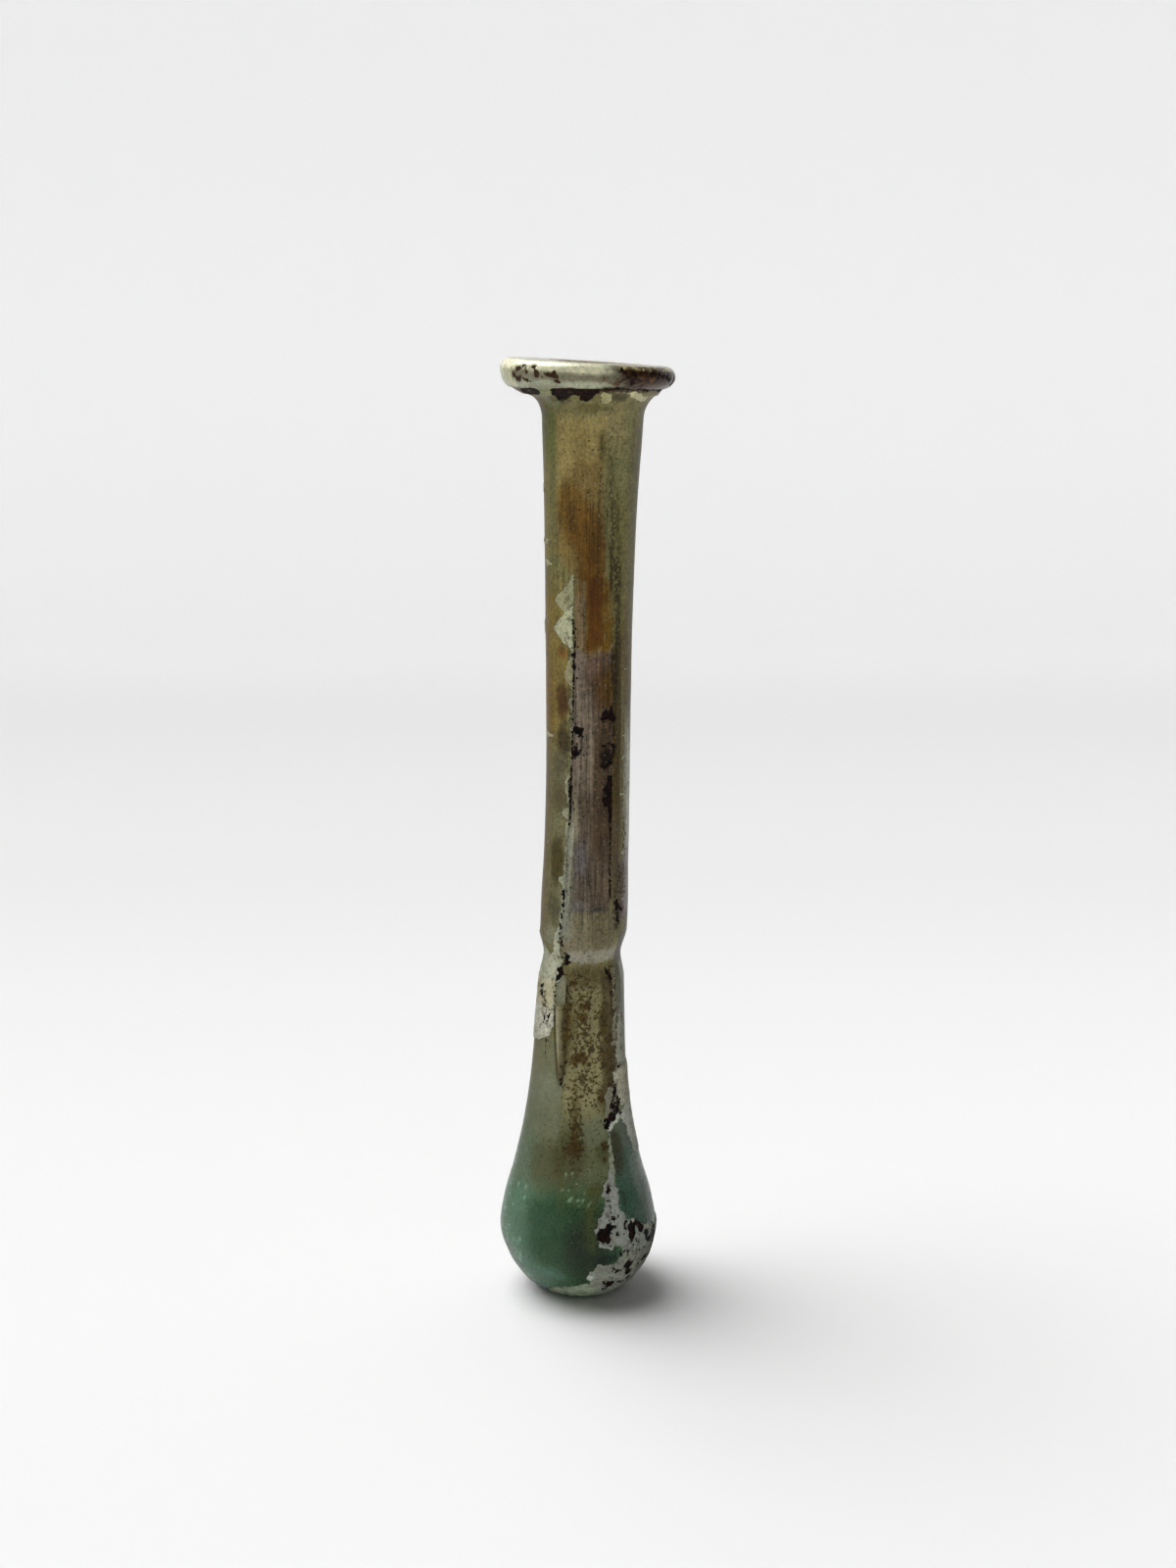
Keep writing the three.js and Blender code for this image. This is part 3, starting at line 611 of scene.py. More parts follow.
dark(stroke([(26.4, 16.2), (26.8, 14.4)], 0.07, 0.03), 0.06, 0.02)
dark(stroke([(36, 8.7), (46, 8.2), (60, 7.6), (74, 7.0)], 0.05, 0.09), 0.25, 0.1)

# rim: brown flecks on the front left, a black patch below it, painted shadow under the rim's overhang further left, the
# mottled right third
for places, w0, w1 in (([(-57, 130.5), (-53, 129.9), (-47, 130.4)], 0.28, 0.22), ([(-52, 130.9), (-47, 131.1)], 0.22, 0.2), ([(-45, 130.0), (-41, 129.6)], 0.16, 0.14),
                       ([(-44.5, 131.2), (-42.5, 130.7)], 0.16, 0.1), ([(-39.5, 131.3), (-36, 131.3), (-34, 130.7)], 0.2, 0.2), ([(-35, 130.3), (-32, 130.3)], 0.16, 0.1),
                       ([(-27, 130.7), (-23, 130.6), (-20, 130.3)], 0.24, 0.26), ([(-21, 130.3), (-18.5, 129.4)], 0.24, 0.14)):
    dark(stroke(places, w0, w1), 0.3, 0.1)
dark(patch((-37, 125.3), (-30, 127.4), (-25, 128.7), (10.5, 128.7), (10.5, 127.8), (4, 127.0), (1, 126.2), (-2, 125.3), (-12.5, 125.3), (-10, 126.3), (-10, 126.9), (-15, 126.8), (-21, 125.9), (-30, 125.3)), 0.12, 0.04)
# painted shadow under the rim's overhang on the left, drawn with the pits
dark(patch((-70, 127.3), (-60, 127.9), (-42, 128.4), (-41, 127.6), (-46, 126.9), (-62, 126.4)), 0.2, 0.1)
dark(stroke([(9, 128.5), (20, 128.7), (34, 128.4), (52, 128.3), (74, 128.0)], 0.2, 0.28), 0.3, 0.1)
dark(stroke([(30, 130.0), (38, 129.6)], 0.3, 0.1), 0.5, 0.1)
dark(stroke([(44, 131.4), (56, 131.2), (66, 130.6)], 0.12, 0.3), 0.5, 0.1)
dark(stroke([(22, 131.6), (30, 131.3)], 0.12, 0.2), 0.5, 0.1)
dark(oval(76, 130.2, 0.7, 0.7), 0.5, 0.1)

# ------------------------------------------------------------------ rim colours: a pearly film, with painted highlight bands and a painted dark reflection streak
rim_zone = step(128.5, 129.0, H) * OUT
RAG = 0.16 * WOB2 + 0.1 * CHIP
lay(rim_zone, (118, 120, 99))
lay(band(128.9, 129.9, 0.2, 0.25, H + RAG) * band(-58, 16, 5, 8, T), (136, 139, 117), 0.9)
lay(band(128.5, 129.3, 0.2, 0.3, H + RAG) * band(-46, -10, 5, 8, T), (100, 99, 80), 0.8)
# painted reflection: a darker streak across the pearly band
lay(band(129.9, 130.8, 0.25, 0.25, H + RAG) * band(-100, 20, 8, 5, T), (100, 96, 76), 0.95)
lay(band(130.8, 131.15, 0.2, 0.2, H + RAG) * band(-100, 14, 8, 5, T), (150, 148, 120), 0.95)
lay(band(128.8, 131.2, 0.3, 0.3, H + RAG) * band(-110, -57, 8, 3, T + 8 * WOB2), (176, 176, 140), 0.95)
# painted highlight over the pearly film: the bright cream bands
lay(band(131.05, 132.6, 0.2, 0.25, H + RAG) * band(-110, 12, 12, 9, T + 6 * WOB2), (236, 234, 198), 0.98)
lay(band(131.5, 132.2, 0.2, 0.2, H + RAG) * band(-70, -2, 8, 10, T), (250, 248, 215), 0.85)
lay(step(132.5, 132.9, H + RAG) * band(-110, 14, 12, 10, T) * OUT, (196, 188, 158), 0.9)
# its right third: dark red-brown fading in, mottled, olive towards the side
into = step(6, 27, T + 9 * WOB2 + 4 * CHIP) * (1 - step(84, 108, T + 6 * WOB2))
right = band(129.4, 131.9, 0.45, 0.25, H + 1.6 * RAG) * into
lay(right, (46, 23, 8), 0.98)
lay(right * step(0.0, 0.35, CHIP2 + JAG), (20, 9, 4), 0.9)
lay(right * step(0.2, 0.55, CHIP - JAG), (84, 60, 36), 0.6)
lay(right * step(44, 66, T), (42, 32, 22), 0.6)
lay(band(128.6, 129.9, 0.25, 0.35, H + RAG) * step(14, 30, T + 6 * WOB2) * (1 - step(80, 100, T)), (62, 50, 42), 0.95)
lay(band(131.8, 132.5, 0.2, 0.25, H + 1.4 * RAG) * step(16, 30, T + 8 * WOB2 + 4 * CHIP), (92, 76, 48), 0.95)
# painted highlight: small bright cream specks along the top of the dark right third
lay(band(131.9, 132.6, 0.2, 0.2, H + 1.4 * RAG) * step(16, 26, T) * step(0.1, 0.5, WOB2 + 0.6 * CHIP), (190, 180, 130), 0.85)
lay(step(132.5, 132.9, H + RAG) * step(12, 24, T) * (1 - step(130, 150, T)) * OUT, (140, 128, 98), 0.95)
lay(band(128.8, 132.8, 0.5, 0.4, H) * band(98, 126, 8, 10, T + 5 * WOB2), (112, 106, 82), 0.8)
# a thin brown line along the top edge, and the flattened ring
lay(band(133.1, 134.5, 0.16, 0.3, H + 1.5 * RAG) * band(-75, 110, 12, 10, T), (66, 46, 28), 0.9)
lay(step(134.4, 134.9, H) * OUT, (150, 142, 108))
lay(step(134.4, 134.9, H) * step(0.1, 0.5, WOB + 0.5 * WOB2) * OUT, (112, 98, 66), 0.8)
# under the rim
lay(band(123.6, 128.4, 0.9, 0.3, H + 0.3 * WOB2) * front, (92, 88, 59), 0.9)
lay(band(124.2, 128.6, 0.6, 0.3, H) * band(-50, -28, 3, 2, T - (H - 126.4) * 4.5), (98, 102, 73), 0.95)
lay(band(125.2, 127.4, 0.4, 0.3, H + 0.3 * WOB2) * band(18, 33, 1.5, 2, T + 2 * WOB2), (60, 59, 42), 0.97)
lay(band(127.6, 129.1, 0.25, 0.3, H + 0.2 * CHIP) * band(8, 33, 2, 4, T + 3 * CHIP), (36, 26, 15), 0.97)
lay(band(127.6, 129.0, 0.25, 0.3, H + 0.2 * CHIP) * band(33, 90, 4, 8, T + 3 * CHIP), (48, 38, 27), 0.95)
lay(band(125, 126.3, 0.3, 0.3, H + 0.2 * CHIP) * band(-44, -22, 3, 3, T + 3 * CHIP), (64, 62, 44), 0.8)
lay(soft(oval(-4, 124.2, 1.6, 0.7, 0) + 0.4 * JAG, 0.3), (77, 71, 44), 0.8)
flake(patch((8, 125.0), (9, 127.4), (13, 127.7), (18, 127.3), (17, 125.4), (13, 124.8)), (120, 116, 83), 0.14, 0.05, 0.06)
flake(patch((33, 127.6), (38, 127.9), (44, 127.5), (50, 126.6), (58, 126.4), (62, 125.2), (50, 125.2), (42, 125.8), (35, 126.4)), (136, 132, 104), 0.2, 0.08, 0.08)
flake(stroke([(18, 127.5), (26, 127.8), (34, 127.5)], 0.08, 0.1), (98, 94, 74), 0.14, 0.05, 0.06)

# ------------------------------------------------------------------ the drawn-out bubble on the lower neck, with a painted highlight down its left side and painted shade down its right side and beside it
grow = np.clip((H - 32.2) / 11.0, 0, 1)
bubble_mid = -27.2 + (43.2 - H) / 11.0 * 4.6
bubble_half = 1.02 * grow ** 0.45
bubble = np.where((H > 32.0) & (H < 43.6), bubble_half - np.abs(((T - bubble_mid + 180) % 360 - 180) * np.pi / 180 * RR), -3.0)
bubble = np.minimum(bubble, (43.3 - H) * 1.0)
bubble_side = ((T - bubble_mid + 180) % 360 - 180) * np.pi / 180 * RR
# painted shade: a dark olive strip beside the bubble's right side
lay(band(34, 47, 2.5, 1, H) * band(-21.5, -14.5, 1.2, 2.5, T + (H - 43) * 0.15 + 2 * WOB2), (66, 60, 36), 0.75)
lay(soft(bubble + 0.22, 0.14), (50, 46, 28), 0.9)
lay(soft(bubble - 0.1, 0.14), (104, 100, 76), 0.97)
# painted highlight down the bubble's left side
lay(soft(bubble - 0.12, 0.14) * step(0.1, -0.35, bubble_side) * step(34, 38, H), (120, 119, 96), 0.8)
# painted shade down the bubble's right side
lay(soft(bubble - 0.06, 0.14) * step(0.1, 0.6, bubble_side), (70, 62, 38), 0.85)
lay(soft(bubble, 0.12) * band(32, 35.6, 0.6, 1.2, H), (76, 68, 44), 0.7)
crack([(-36.5, 41.6), (-35.5, 40.6)], 0.06, 0.03)
crack([(-24.2, 33.6), (-22.6, 32.4), (-21.4, 31.9)], 0.03, 0.06)
crack([(-19.6, 34.4), (-20.6, 33.0), (-21.4, 32.0)], 0.03, 0.06)
crack([(-16.8, 35.3), (-18.6, 34.8)], 0.03)
crack([(-19.6, 47.2), (-19.4, 43.4)], 0.0, 0.02)
# ------------------------------------------------------------------ brown spots that have grown in the film
stain = np.zeros(T.shape)


def spot(t0, h0, a, b, rot=0.0, strength=1.0):
    global stain
    stain = np.maximum(stain, strength * step(-0.5, 0.32, oval(t0, h0, a, b, rot) + 0.1 * CHIP2))


for t0, h0, a, b, rot in (
    (5, 43.2, 0.85, 0.62, 0), (2, 41.8, 0.85, 0.62, 10), (9, 43.6, 0.35, 0.25, 0), (1, 35.9, 1.2, 0.75, 0), (-5, 35.3, 0.6, 0.45, 0), (14, 38.1, 0.12, 0.95, 0), (12.5, 37.4, 0.1, 0.5, 0), (14, 35.2, 0.7, 0.12, 0),
    (-14, 31.7, 0.3, 0.16, 0), (-7, 31.5, 0.3, 0.16, 0), (1, 30.4, 0.5, 0.16, 20), (-8, 28.4, 0.3, 0.16, 0), (-3, 26.2, 0.6, 0.5, 0), (-4, 24.6, 0.5, 0.5, 0),
    (-3, 23.4, 0.95, 0.85, 0), (-10, 23.2, 0.6, 0.3, 0), (3.5, 23.3, 0.4, 0.4, 0), (28, 41.7, 0.5, 0.18, 0), (28, 30.0, 0.42, 0.5, 0), (24, 31, 0.3, 0.2, 0),
    (42, 46.9, 0.5, 0.22, 0), (43, 44.8, 0.3, 0.18, 0), (52, 42.2, 0.6, 0.2, 0), (50, 41.0, 0.5, 0.16, 0), (55, 40.2, 0.3, 0.16, 0), (6, 46.2, 0.2, 0.2, 0), (-12, 46.4, 0.4, 0.4, 0), (0, 44.6, 0.3, 0.3, 0),
    (24, 35.4, 0.4, 0.12, 0), (20, 33.2, 0.3, 0.12, 0), (29, 23.4, 0.55, 0.6, 0), (27, 21.4, 0.4, 0.3, 0)):
    spot(t0, h0, a, b, rot)
spot(-2, 40, 2.4, 8.5, 0, 0.4)
spot(-2, 26, 1.0, 5.0, 0, 0.55)
spot(-16, 41, 0.5, 4.5, 0, 0.6)
spot(31, 40, 0.9, 6.0, 0, 0.5)
spot(42, 36, 1.1, 5.0, 0, 0.55)
spot(14, 42, 1.4, 5.0, 0, 0.16)
spot(8, 33, 1.5, 2.6, 0, 0.45)
spot(56, 59, 1.3, 3.6, 0, 0.45)
spot(47, 57, 0.7, 3.2, 0, 0.55)
spot(62, 66, 0.5, 4.0, 0, 0.5)
spot(46, 45, 0.5, 3.2, 0, 0.85)
spot(50, 40, 0.6, 2.0, 0, 0.7)

lay(step(0.45, 0.9, stain - 0.25 * CHIP2) * band(20, 49, 1, 1, H), (66, 46, 15), 0.85)
lay(soft(oval(-2.5, 23.3, 1.0, 1.1, 0) + 0.4 * JAG + 0.2 * WOB2, 0.5), (60, 46, 22), 0.8)
lay(soft(stroke([(-3.5, 32), (-3, 27), (-2, 24)], 0.25, 0.4) + 0.3 * JAG + 0.3 * WOB2, 0.5), (74, 62, 30), 0.6)

# ------------------------------------------------------------------ the back, in keeping and plainer
lay(back * band(48, 122, 4, 3, H) * step(-0.1, 0.5, CLOUD + 0.5 * DRAW), (106, 90, 54), 0.8)
lay(back * band(52, 104, 4, 6, H) * step(0.0, 0.45, -CLOUD + 0.3 * DRAW), (82, 72, 60), 0.85)
lay(back * band(60, 118, 4, 4, H) * step(0.25, 0.6, DRAW - CLOUD * 0.4), (84, 60, 28), 0.8)
lay(back * band(49.4, 51.0, 0.2, 0.5, H + 0.35 * WOB2), (120, 118, 104), 0.9)
lay(back * band(2, 26, 2, 4, H) * step(0.0, 0.6, CLOUD), (46, 68, 48), 0.8)
lay(back * band(2, 24, 2, 4, H) * step(0.1, 0.6, -CLOUD), (92, 116, 96), 0.7)
lay(back * band(128.8, 132.6, 0.3, 0.3, H) * step(-0.1, 0.3, CLOUD + 0.6 * CHIP * 0.5), (92, 72, 52), 0.85)
patchy = nz(4.2, 3, 2.2, 11) + 0.1 * CHIP
flake(np.where(front < 0.3, (patchy - 0.42) * 3.4, -3.0), (128, 127, 108), 0.28, 0.3)
foot = np.where(front < 0.5, np.minimum(H - 0.3, 7.5 + 1.6 * CLOUD + 1.2 * WOB2 - H), -3.0)
flake(foot, (102, 105, 94), 0.3, 0.2)
dark(np.where(front < 0.3, np.minimum((nz(1.7, 3, 1.6, 12) - 0.30) * 2.4, crust - 0.1), -3.0), 0.3, 0.1)
dark(np.where(front < 0.3, 0.09 - np.abs(nz(3.4, 2, 3.0, 13)) * 3 - step(-0.2, 0.4, -crust) * 0.2, -3.0), 0.2, 0.1)
stain = np.where(front < 0.3, step(0.1, 0.6, nz(1.5, 3, 1.0, 14)) * band(22, 60, 3, 6, H), stain)

# ------------------------------------------------------------------ inside: earthy film
lay(IN, (112, 104, 76))
crust = crust * OUT - 3 * IN
pit_and_shade = pit_and_shade * OUT - 3 * IN
stain *= OUT
# painted light: colours are lifted where the studio light reaches the vessel less, in front, round the body and under
# it, and lowered on the left edge where it reaches most, to cancel the shading
AROUND = [-180, -130, -90, -70, -60, -45, -30, -15, 0, 30, 45, 60, 70, 90, 130, 180]
high = np.interp(T, AROUND, [1.2, 1.1, 0.8, 0.79, 1.04, 1.37, 1.68, 1.76, 1.76, 1.76, 1.66, 1.37, 1.04, 0.9, 1.1, 1.2])
low = np.interp(T, AROUND, [1.0, 0.9, 0.7, 0.76, 1.03, 1.42, 1.85, 2.1, 2.35, 2.55, 2.45, 1.55, 1.1, 0.9, 0.9, 1.0])
under_ = np.interp(H, [0, 2, 3, 5, 8, 11, 14], [1.5, 1.2, 1.0, 0.88, 0.78, 0.88, 1])
lift = high + (low * (1 + (under_ - 1) * band(-12, 100, 15, 20, T)) - high) * step(52, 20, H)
# painted light: the rim's front is lifted further, below its top band
lift = np.where(H > 128.5, 1.0 + 0.65 * band(-56, 66, 12, 12, T) * (1 - step(131.6, 132.4, H)), lift)
lift = (1.06 * lift * OUT + 1.2 * IN)[..., None]
# gloss and glow wash the darkest colours out, so a little of it is taken away here
haze = np.interp(T, AROUND, [0.012, 0.012, 0.04, 0.042, 0.032, 0.019, 0.015, 0.013, 0.013, 0.016, 0.016, 0.02, 0.019, 0.018, 0.012, 0.012])[..., None]
low_ = step(38, 22, H)[..., None]
haze = haze * (np.array([0.3, 0.75, 1.05]) * (1 - low_) + np.array([0.9, 0.5, 0.9]) * low_) * (OUT * (H < 128.5))[..., None]
tone = np.maximum(tone * lift - haze, 0.3 * tone * lift)
ctone = ctone * lift
tone *= np.minimum(1, 0.93 / tone.max(-1, keepdims=True))
ctone *= np.minimum(1, 0.93 / ctone.max(-1, keepdims=True))

# ------------------------------------------------------------------ masks for the shader
mottle = band(26.5, 48.8, 2, 0.5, H) * band(-19, 50, 3, 5, T + 4 * WOB2) * OUT
mottle = np.maximum(mottle, 0.45 * band(50, 57, 1, 1, H) * band(-30, 50, 4, 4, T) * OUT)
mottle = np.maximum(mottle, 0.6 * band(17, 28, 2, 2, H) * band(-45, 34, 8, 4, T) * OUT)
mottle = np.maximum(mottle, 0.6 * back * band(20, 60, 4, 4, H) * OUT)
mottle *= 1 - 0.35 * step(43, 47, H)
# beaded dark bands on the right of the neck
speck_mid = np.interp(H, [60, 84, 98, 104, 112, 121], [46, 42, 39, 35, 27, 17])
speck = np.interp(H, [62, 84, 92, 106, 112, 121], [0.35, 0.75, 1.0, 1.0, 0.7, 0.3]) * band(62, 121, 6, 1.5, H) * np.exp(-(((T - speck_mid) / np.interp(H, [62, 92, 104, 121], [3.5, 6.0, 8.5, 5])) ** 2)) * OUT
speck = np.maximum(speck, 0.8 * band(101, 121, 1.5, 1, H) * np.exp(-(((T - 10.5) / 2.4) ** 2)))
speck = np.maximum(speck, 0.9 * band(53.5, 64, 1, 1.5, H) * np.exp(-(((T - 50) / 6) ** 2)))
speck = np.maximum(speck, 0.6 * band(31, 48, 1, 1.5, H) * np.exp(-(((T - 48) / 9) ** 2)))
speck = np.maximum(speck, 0.8 * back * band(60, 120, 4, 2, H) * (np.exp(-(((T - 150) / 14) ** 2)) + np.exp(-(((T + 128) / 9) ** 2))))
film = band(54, 93.5, 2, 1, H) * band(-30, 40, 3, 4, T) * OUT
film = np.maximum(film, 0.6 * back * band(52, 112, 3, 5, H) * step(-0.2, 0.4, -CLOUD) * OUT)
glint = 0.9 * band(18, 20.6, 0.6, 0.8, H) * band(-12, 18, 4, 4, T) + 0.6 * band(9, 17.5, 2, 1.5, H) * band(-75, 2, 6, 4, T) * step(-0.2, 0.3, WOB) + 0.6 * band(3, 9, 1, 2, H) * band(-75, -30, 6, 8, T) + 0.3 * film
neck = step(24, 52, H) * (1 - rim_zone) * OUT
amber = band(92, 116, 2, 2, H) * band(-44, 32, 4, 4, T) * OUT
streak = np.maximum(np.maximum(film, 0.3 * neck), 0.85 * amber)
grain = np.clip(0.06 + 0.94 * neck + 0.5 * rim_zone + 0.5 * band(17, 30, 3, 4, H) * band(-60, 40, 10, 8, T), 0, 1) * (1 - 0.5 * IN)
clear = np.clip(0.05 + 0.16 * step(40, 20, H) - 0.06 * film - 0.1 * mottle, 0.0, 1) * (1 - rim_zone) * OUT
rough = 0.36 + 0.16 * film + 0.1 * mottle - 0.18 * rim_zone - 0.08 * step(30, 18, H) + 0.25 * IN
gloss = rim_zone * (0.1 + 0.9 * step(1, -0.2, step(8, 24, T) * (1 - step(90, 110, T))))

# ------------------------------------------------------------------ relief, mm along the surface's normal
relief = 0.05 * CLOUD + 0.02 * WOB
relief += 0.012 * DRAW * step(30, 60, H)
relief += STEP * step(-0.06, 0.2, crust) * (1 + 0.3 * WOB2 + 0.12 * CHIP)
relief -= 0.20 * step(-0.03, 0.2, pit_and_shade)
relief += 0.30 * step(0.0, 0.7, bubble) - 0.10 * soft(bubble + 0.12, 0.12) * (1 - step(0.0, 0.3, bubble))
relief += 0.42 * band(1.0, 4.2, 0.9, 2.2, H) * band(-135, -42, 25, 25, T)
relief += 0.05 * band(49.5, 51.3, 0.25, 0.4, H + 0.35 * WOB2) * band(-22, 52, 3, 3, T)
relief *= OUT
relief *= step(0.5, 2.0, ss - RUN_HEEL + 1.5) * 0.9 + 0.1

# ------------------------------------------------------------------ mesh
dth = np.roll(base, -1, 1) - np.roll(base, 1, 1)
dr = np.gradient(base, axis=0)
normal = np.cross(dth, dr)
normal /= np.linalg.norm(normal, axis=-1, keepdims=True) + 1e-12
verts = base + normal * relief[..., None]
verts[..., 2] = np.maximum(verts[..., 2], 0.0)
verts = np.concatenate([verts.reshape(-1, 3), [[float(lean(0)), 0, 0.0], [float(lean(FLOOR_T)), 0, FLOOR_T]]]) * MM
quads = []
idx = np.arange(ROWS * COLUMNS).reshape(ROWS, COLUMNS)
nxt = np.roll(idx, -1, 1)
quads = np.stack([idx[:-1], nxt[:-1], nxt[1:], idx[1:]], -1).reshape(-1, 4)
n = ROWS * COLUMNS
fan0 = np.stack([nxt[0], idx[0], np.full(COLUMNS, n)], -1)
fan1 = np.stack([idx[-1], nxt[-1], np.full(COLUMNS, n + 1)], -1)
mesh = bpy.data.meshes.new("unguentarium_glass")
mesh.from_pydata(verts.tolist(), [], quads.tolist() + fan0.tolist() + fan1.tolist())
mesh.polygons.foreach_set("use_smooth", np.ones(len(mesh.polygons), bool))


def attribute(name, values, kind="FLOAT"):
    a = mesh.attributes.new(name, "FLOAT_COLOR" if kind == "COLOR" else "FLOAT", "POINT")
    if kind == "COLOR":
        v = np.concatenate([values.reshape(-1, 3), values[0].mean(0)[None], values[-1].mean(0)[None]])
        a.data.foreach_set("color", np.concatenate([v, np.ones((len(v), 1))], 1).astype(np.float32).ravel())
    else:
        v = np.concatenate([values.ravel(), [values[0].mean(), values[-1].mean()]])
        a.data.foreach_set("value", v.astype(np.float32))


attribute("tone", tone, "COLOR")
attribute("crust_tone", ctone, "COLOR")
attribute("crust", crust)
attribute("pit_and_shade", pit_and_shade)
attribute("mottle", mottle)
attribute("speck", speck)
attribute("stain", stain)
attribute("streak", streak)
attribute("grain", grain)
attribute("glint", glint)
attribute("clear", clear)
attribute("rough", rough)
attribute("gloss", gloss)
mesh.update()
vessel = bpy.data.objects.new("unguentarium_glass", mesh)
bpy.context.scene.collection.objects.link(vessel)
print("triangles", 2 * len(quads) + 2 * COLUMNS, "rows", ROWS)

# ------------------------------------------------------------------ material
mat = bpy.data.materials.new("weathered_glass")
mat.use_nodes = True
nt = mat.node_tree
nt.nodes.clear()


def node(kind, **values):
    nd = nt.nodes.new(kind)
    for k, v in values.items():
        if k == "inputs":
            for name, x in v.items():
                socket = nd.inputs[name]
                if isinstance(x, bpy.types.NodeSocket):
                    nt.links.new(x, socket)
                else:
                    socket.default_value = x
        else:
            setattr(nd, k, v)
    return nd


def math_node(op, *args, clamp=False):
    nd = nt.nodes.new("ShaderNodeMath")
    nd.operation = op
    nd.use_clamp = clamp
    for i, a in enumerate(args):
        if isinstance(a, bpy.types.NodeSocket):
            nt.links.new(a, nd.inputs[i])
        else:
            nd.inputs[i].default_value = a
    return nd.outputs[0]


def ramp(x, a, b, lo=0.0, hi=1.0):
    nd = node("ShaderNodeMapRange", interpolation_type="SMOOTHSTEP", inputs={"Value": x, "From Min": a, "From Max": b, "To Min": lo, "To Max": hi})
    return nd.outputs[0]


def mix(fac, a, b, mode="MIX"):
    nd = nt.nodes.new("ShaderNodeMix")
    nd.data_type = "RGBA"
    nd.blend_type = mode
    for i, x in ((0, fac), (6, a), (7, b)):
        if isinstance(x, bpy.types.NodeSocket):
            nt.links.new(x, nd.inputs[i])
        else:
            nd.inputs[i].default_value = x if i == 0 else (*x, 1)
    return nd.outputs[2]


def attr(name, out="Fac"):
    return node("ShaderNodeAttribute", attribute_name=name).outputs[out]


co = node("ShaderNodeTexCoord").outputs["Object"]


def tex(scale, detail=3.0, stretch=1.0, rough_=0.55):
    v = co
    if stretch != 1.0:
        v = node("ShaderNodeMapping", inputs={"Vector": co, "Scale": (1, 1, 1 / stretch)}).outputs[0]
    return node("ShaderNodeTexNoise", inputs={"Vector": v, "Scale": scale, "Detail": detail, "Roughness": rough_}).outputs["Fac"]


def grains(scale, stretch=1.0, shift=0.0, feature="F1"):
    """Angular grains: three random values of each grain, and the distance from its middle (or its edge)."""
    v = node("ShaderNodeMapping", inputs={"Vector": co, "Location": (shift, shift, shift), "Scale": (1, 1, 1 / stretch)}).outputs[0]
    nd = node("ShaderNodeTexVoronoi", feature=feature, inputs={"Vector": v, "Scale": scale})
    if feature != "F1":
        return nd.outputs["Distance"]
    c = node("ShaderNodeSeparateColor", inputs={0: nd.outputs["Color"]})
    return c.outputs[0], c.outputs[1], c.outputs[2], nd.outputs["Distance"]


def times(*args):
    x = args[0]
    for y in args[1:]:
        x = math_node("MULTIPLY", x, y)
    return x


def plus(*args):
    x = args[0]
    for y in args[1:]:
        x = math_node("ADD", x, y)
    return x


def less(a, b):
    return math_node("SUBTRACT", a, b)


def scaled(colour_, by):
    return node("ShaderNodeVectorMath", operation="SCALE", inputs={0: colour_, "Scale": by}).outputs[0]


def shade(r, g, b, by=1.0):
    return tuple(float(x) * by for x in lin(r, g, b))


n_mid, n_fine, n_grain = tex(700, 4), tex(2400, 3), tex(5200, 2)
n_draw, n_line = tex(2300, 2, 16.0), tex(4800, 2, 26.0)
g_r, g_g, g_b, g_d = grains(3100)
h_r, h_g, h_b, h_d = grains(1650, 1.0, 0.31)
a_crust, a_pit_and_shade, a_mot, a_spk = attr("crust"), attr("pit_and_shade"), attr("mottle"), attr("speck")
a_grain, a_streak, a_stain, a_glint = attr("grain"), attr("streak"), attr("stain"), attr("glint")

# small light and dark variation in every film
fine = plus(ramp(n_fine, 0.25, 0.75, -0.24, 0.24), ramp(n_grain, 0.3, 0.7, -0.16, 0.16), ramp(g_r, 0.0, 1.0, -0.11, 0.11))
streaks = plus(ramp(n_draw, 0.32, 0.68, -0.30, 0.26), ramp(n_line, 0.34, 0.66, -0.20, 0.20))
gain = plus(ramp(n_mid, 0.25, 0.75, -0.13, 0.13), times(fine, a_grain), times(streaks, a_streak))
gain = math_node("MAXIMUM", plus(gain, 1.0), 0.3)
tint = node("ShaderNodeCombineXYZ", inputs={0: ramp(n_fine, 0.3, 0.7, 0.95, 1.05), 1: 1.0, 2: ramp(n_grain, 0.3, 0.7, 1.1, 0.9)}).outputs[0]
colour = node("ShaderNodeVectorMath", operation="MULTIPLY", inputs={0: scaled(attr("tone", "Color"), gain), 1: tint}).outputs[0]

# pinholes, and painted glints: light dots and streaks where grains and scratches catch the light
pin = times(ramp(h_r, 0.26, 0.22), ramp(h_d, 0.30, 0.18), a_grain)
colour = mix(times(pin, 0.7), colour, shade(38, 30, 14, 1.6))
glint_ = times(ramp(g_g, 0.80, 0.84), ramp(g_d, 0.34, 0.2), a_glint)
colour = mix(times(glint_, 0.8), colour, shade(196, 200, 176, 1.4))
scratch_glint = times(ramp(n_line, 0.62, 0.68), ramp(n_mid, 0.5, 0.6), less(1.0, a_grain), ramp(a_glint, 0.2, 0.6))
colour = mix(times(scratch_glint, 0.55), colour, shade(140, 172, 150, 1.2))

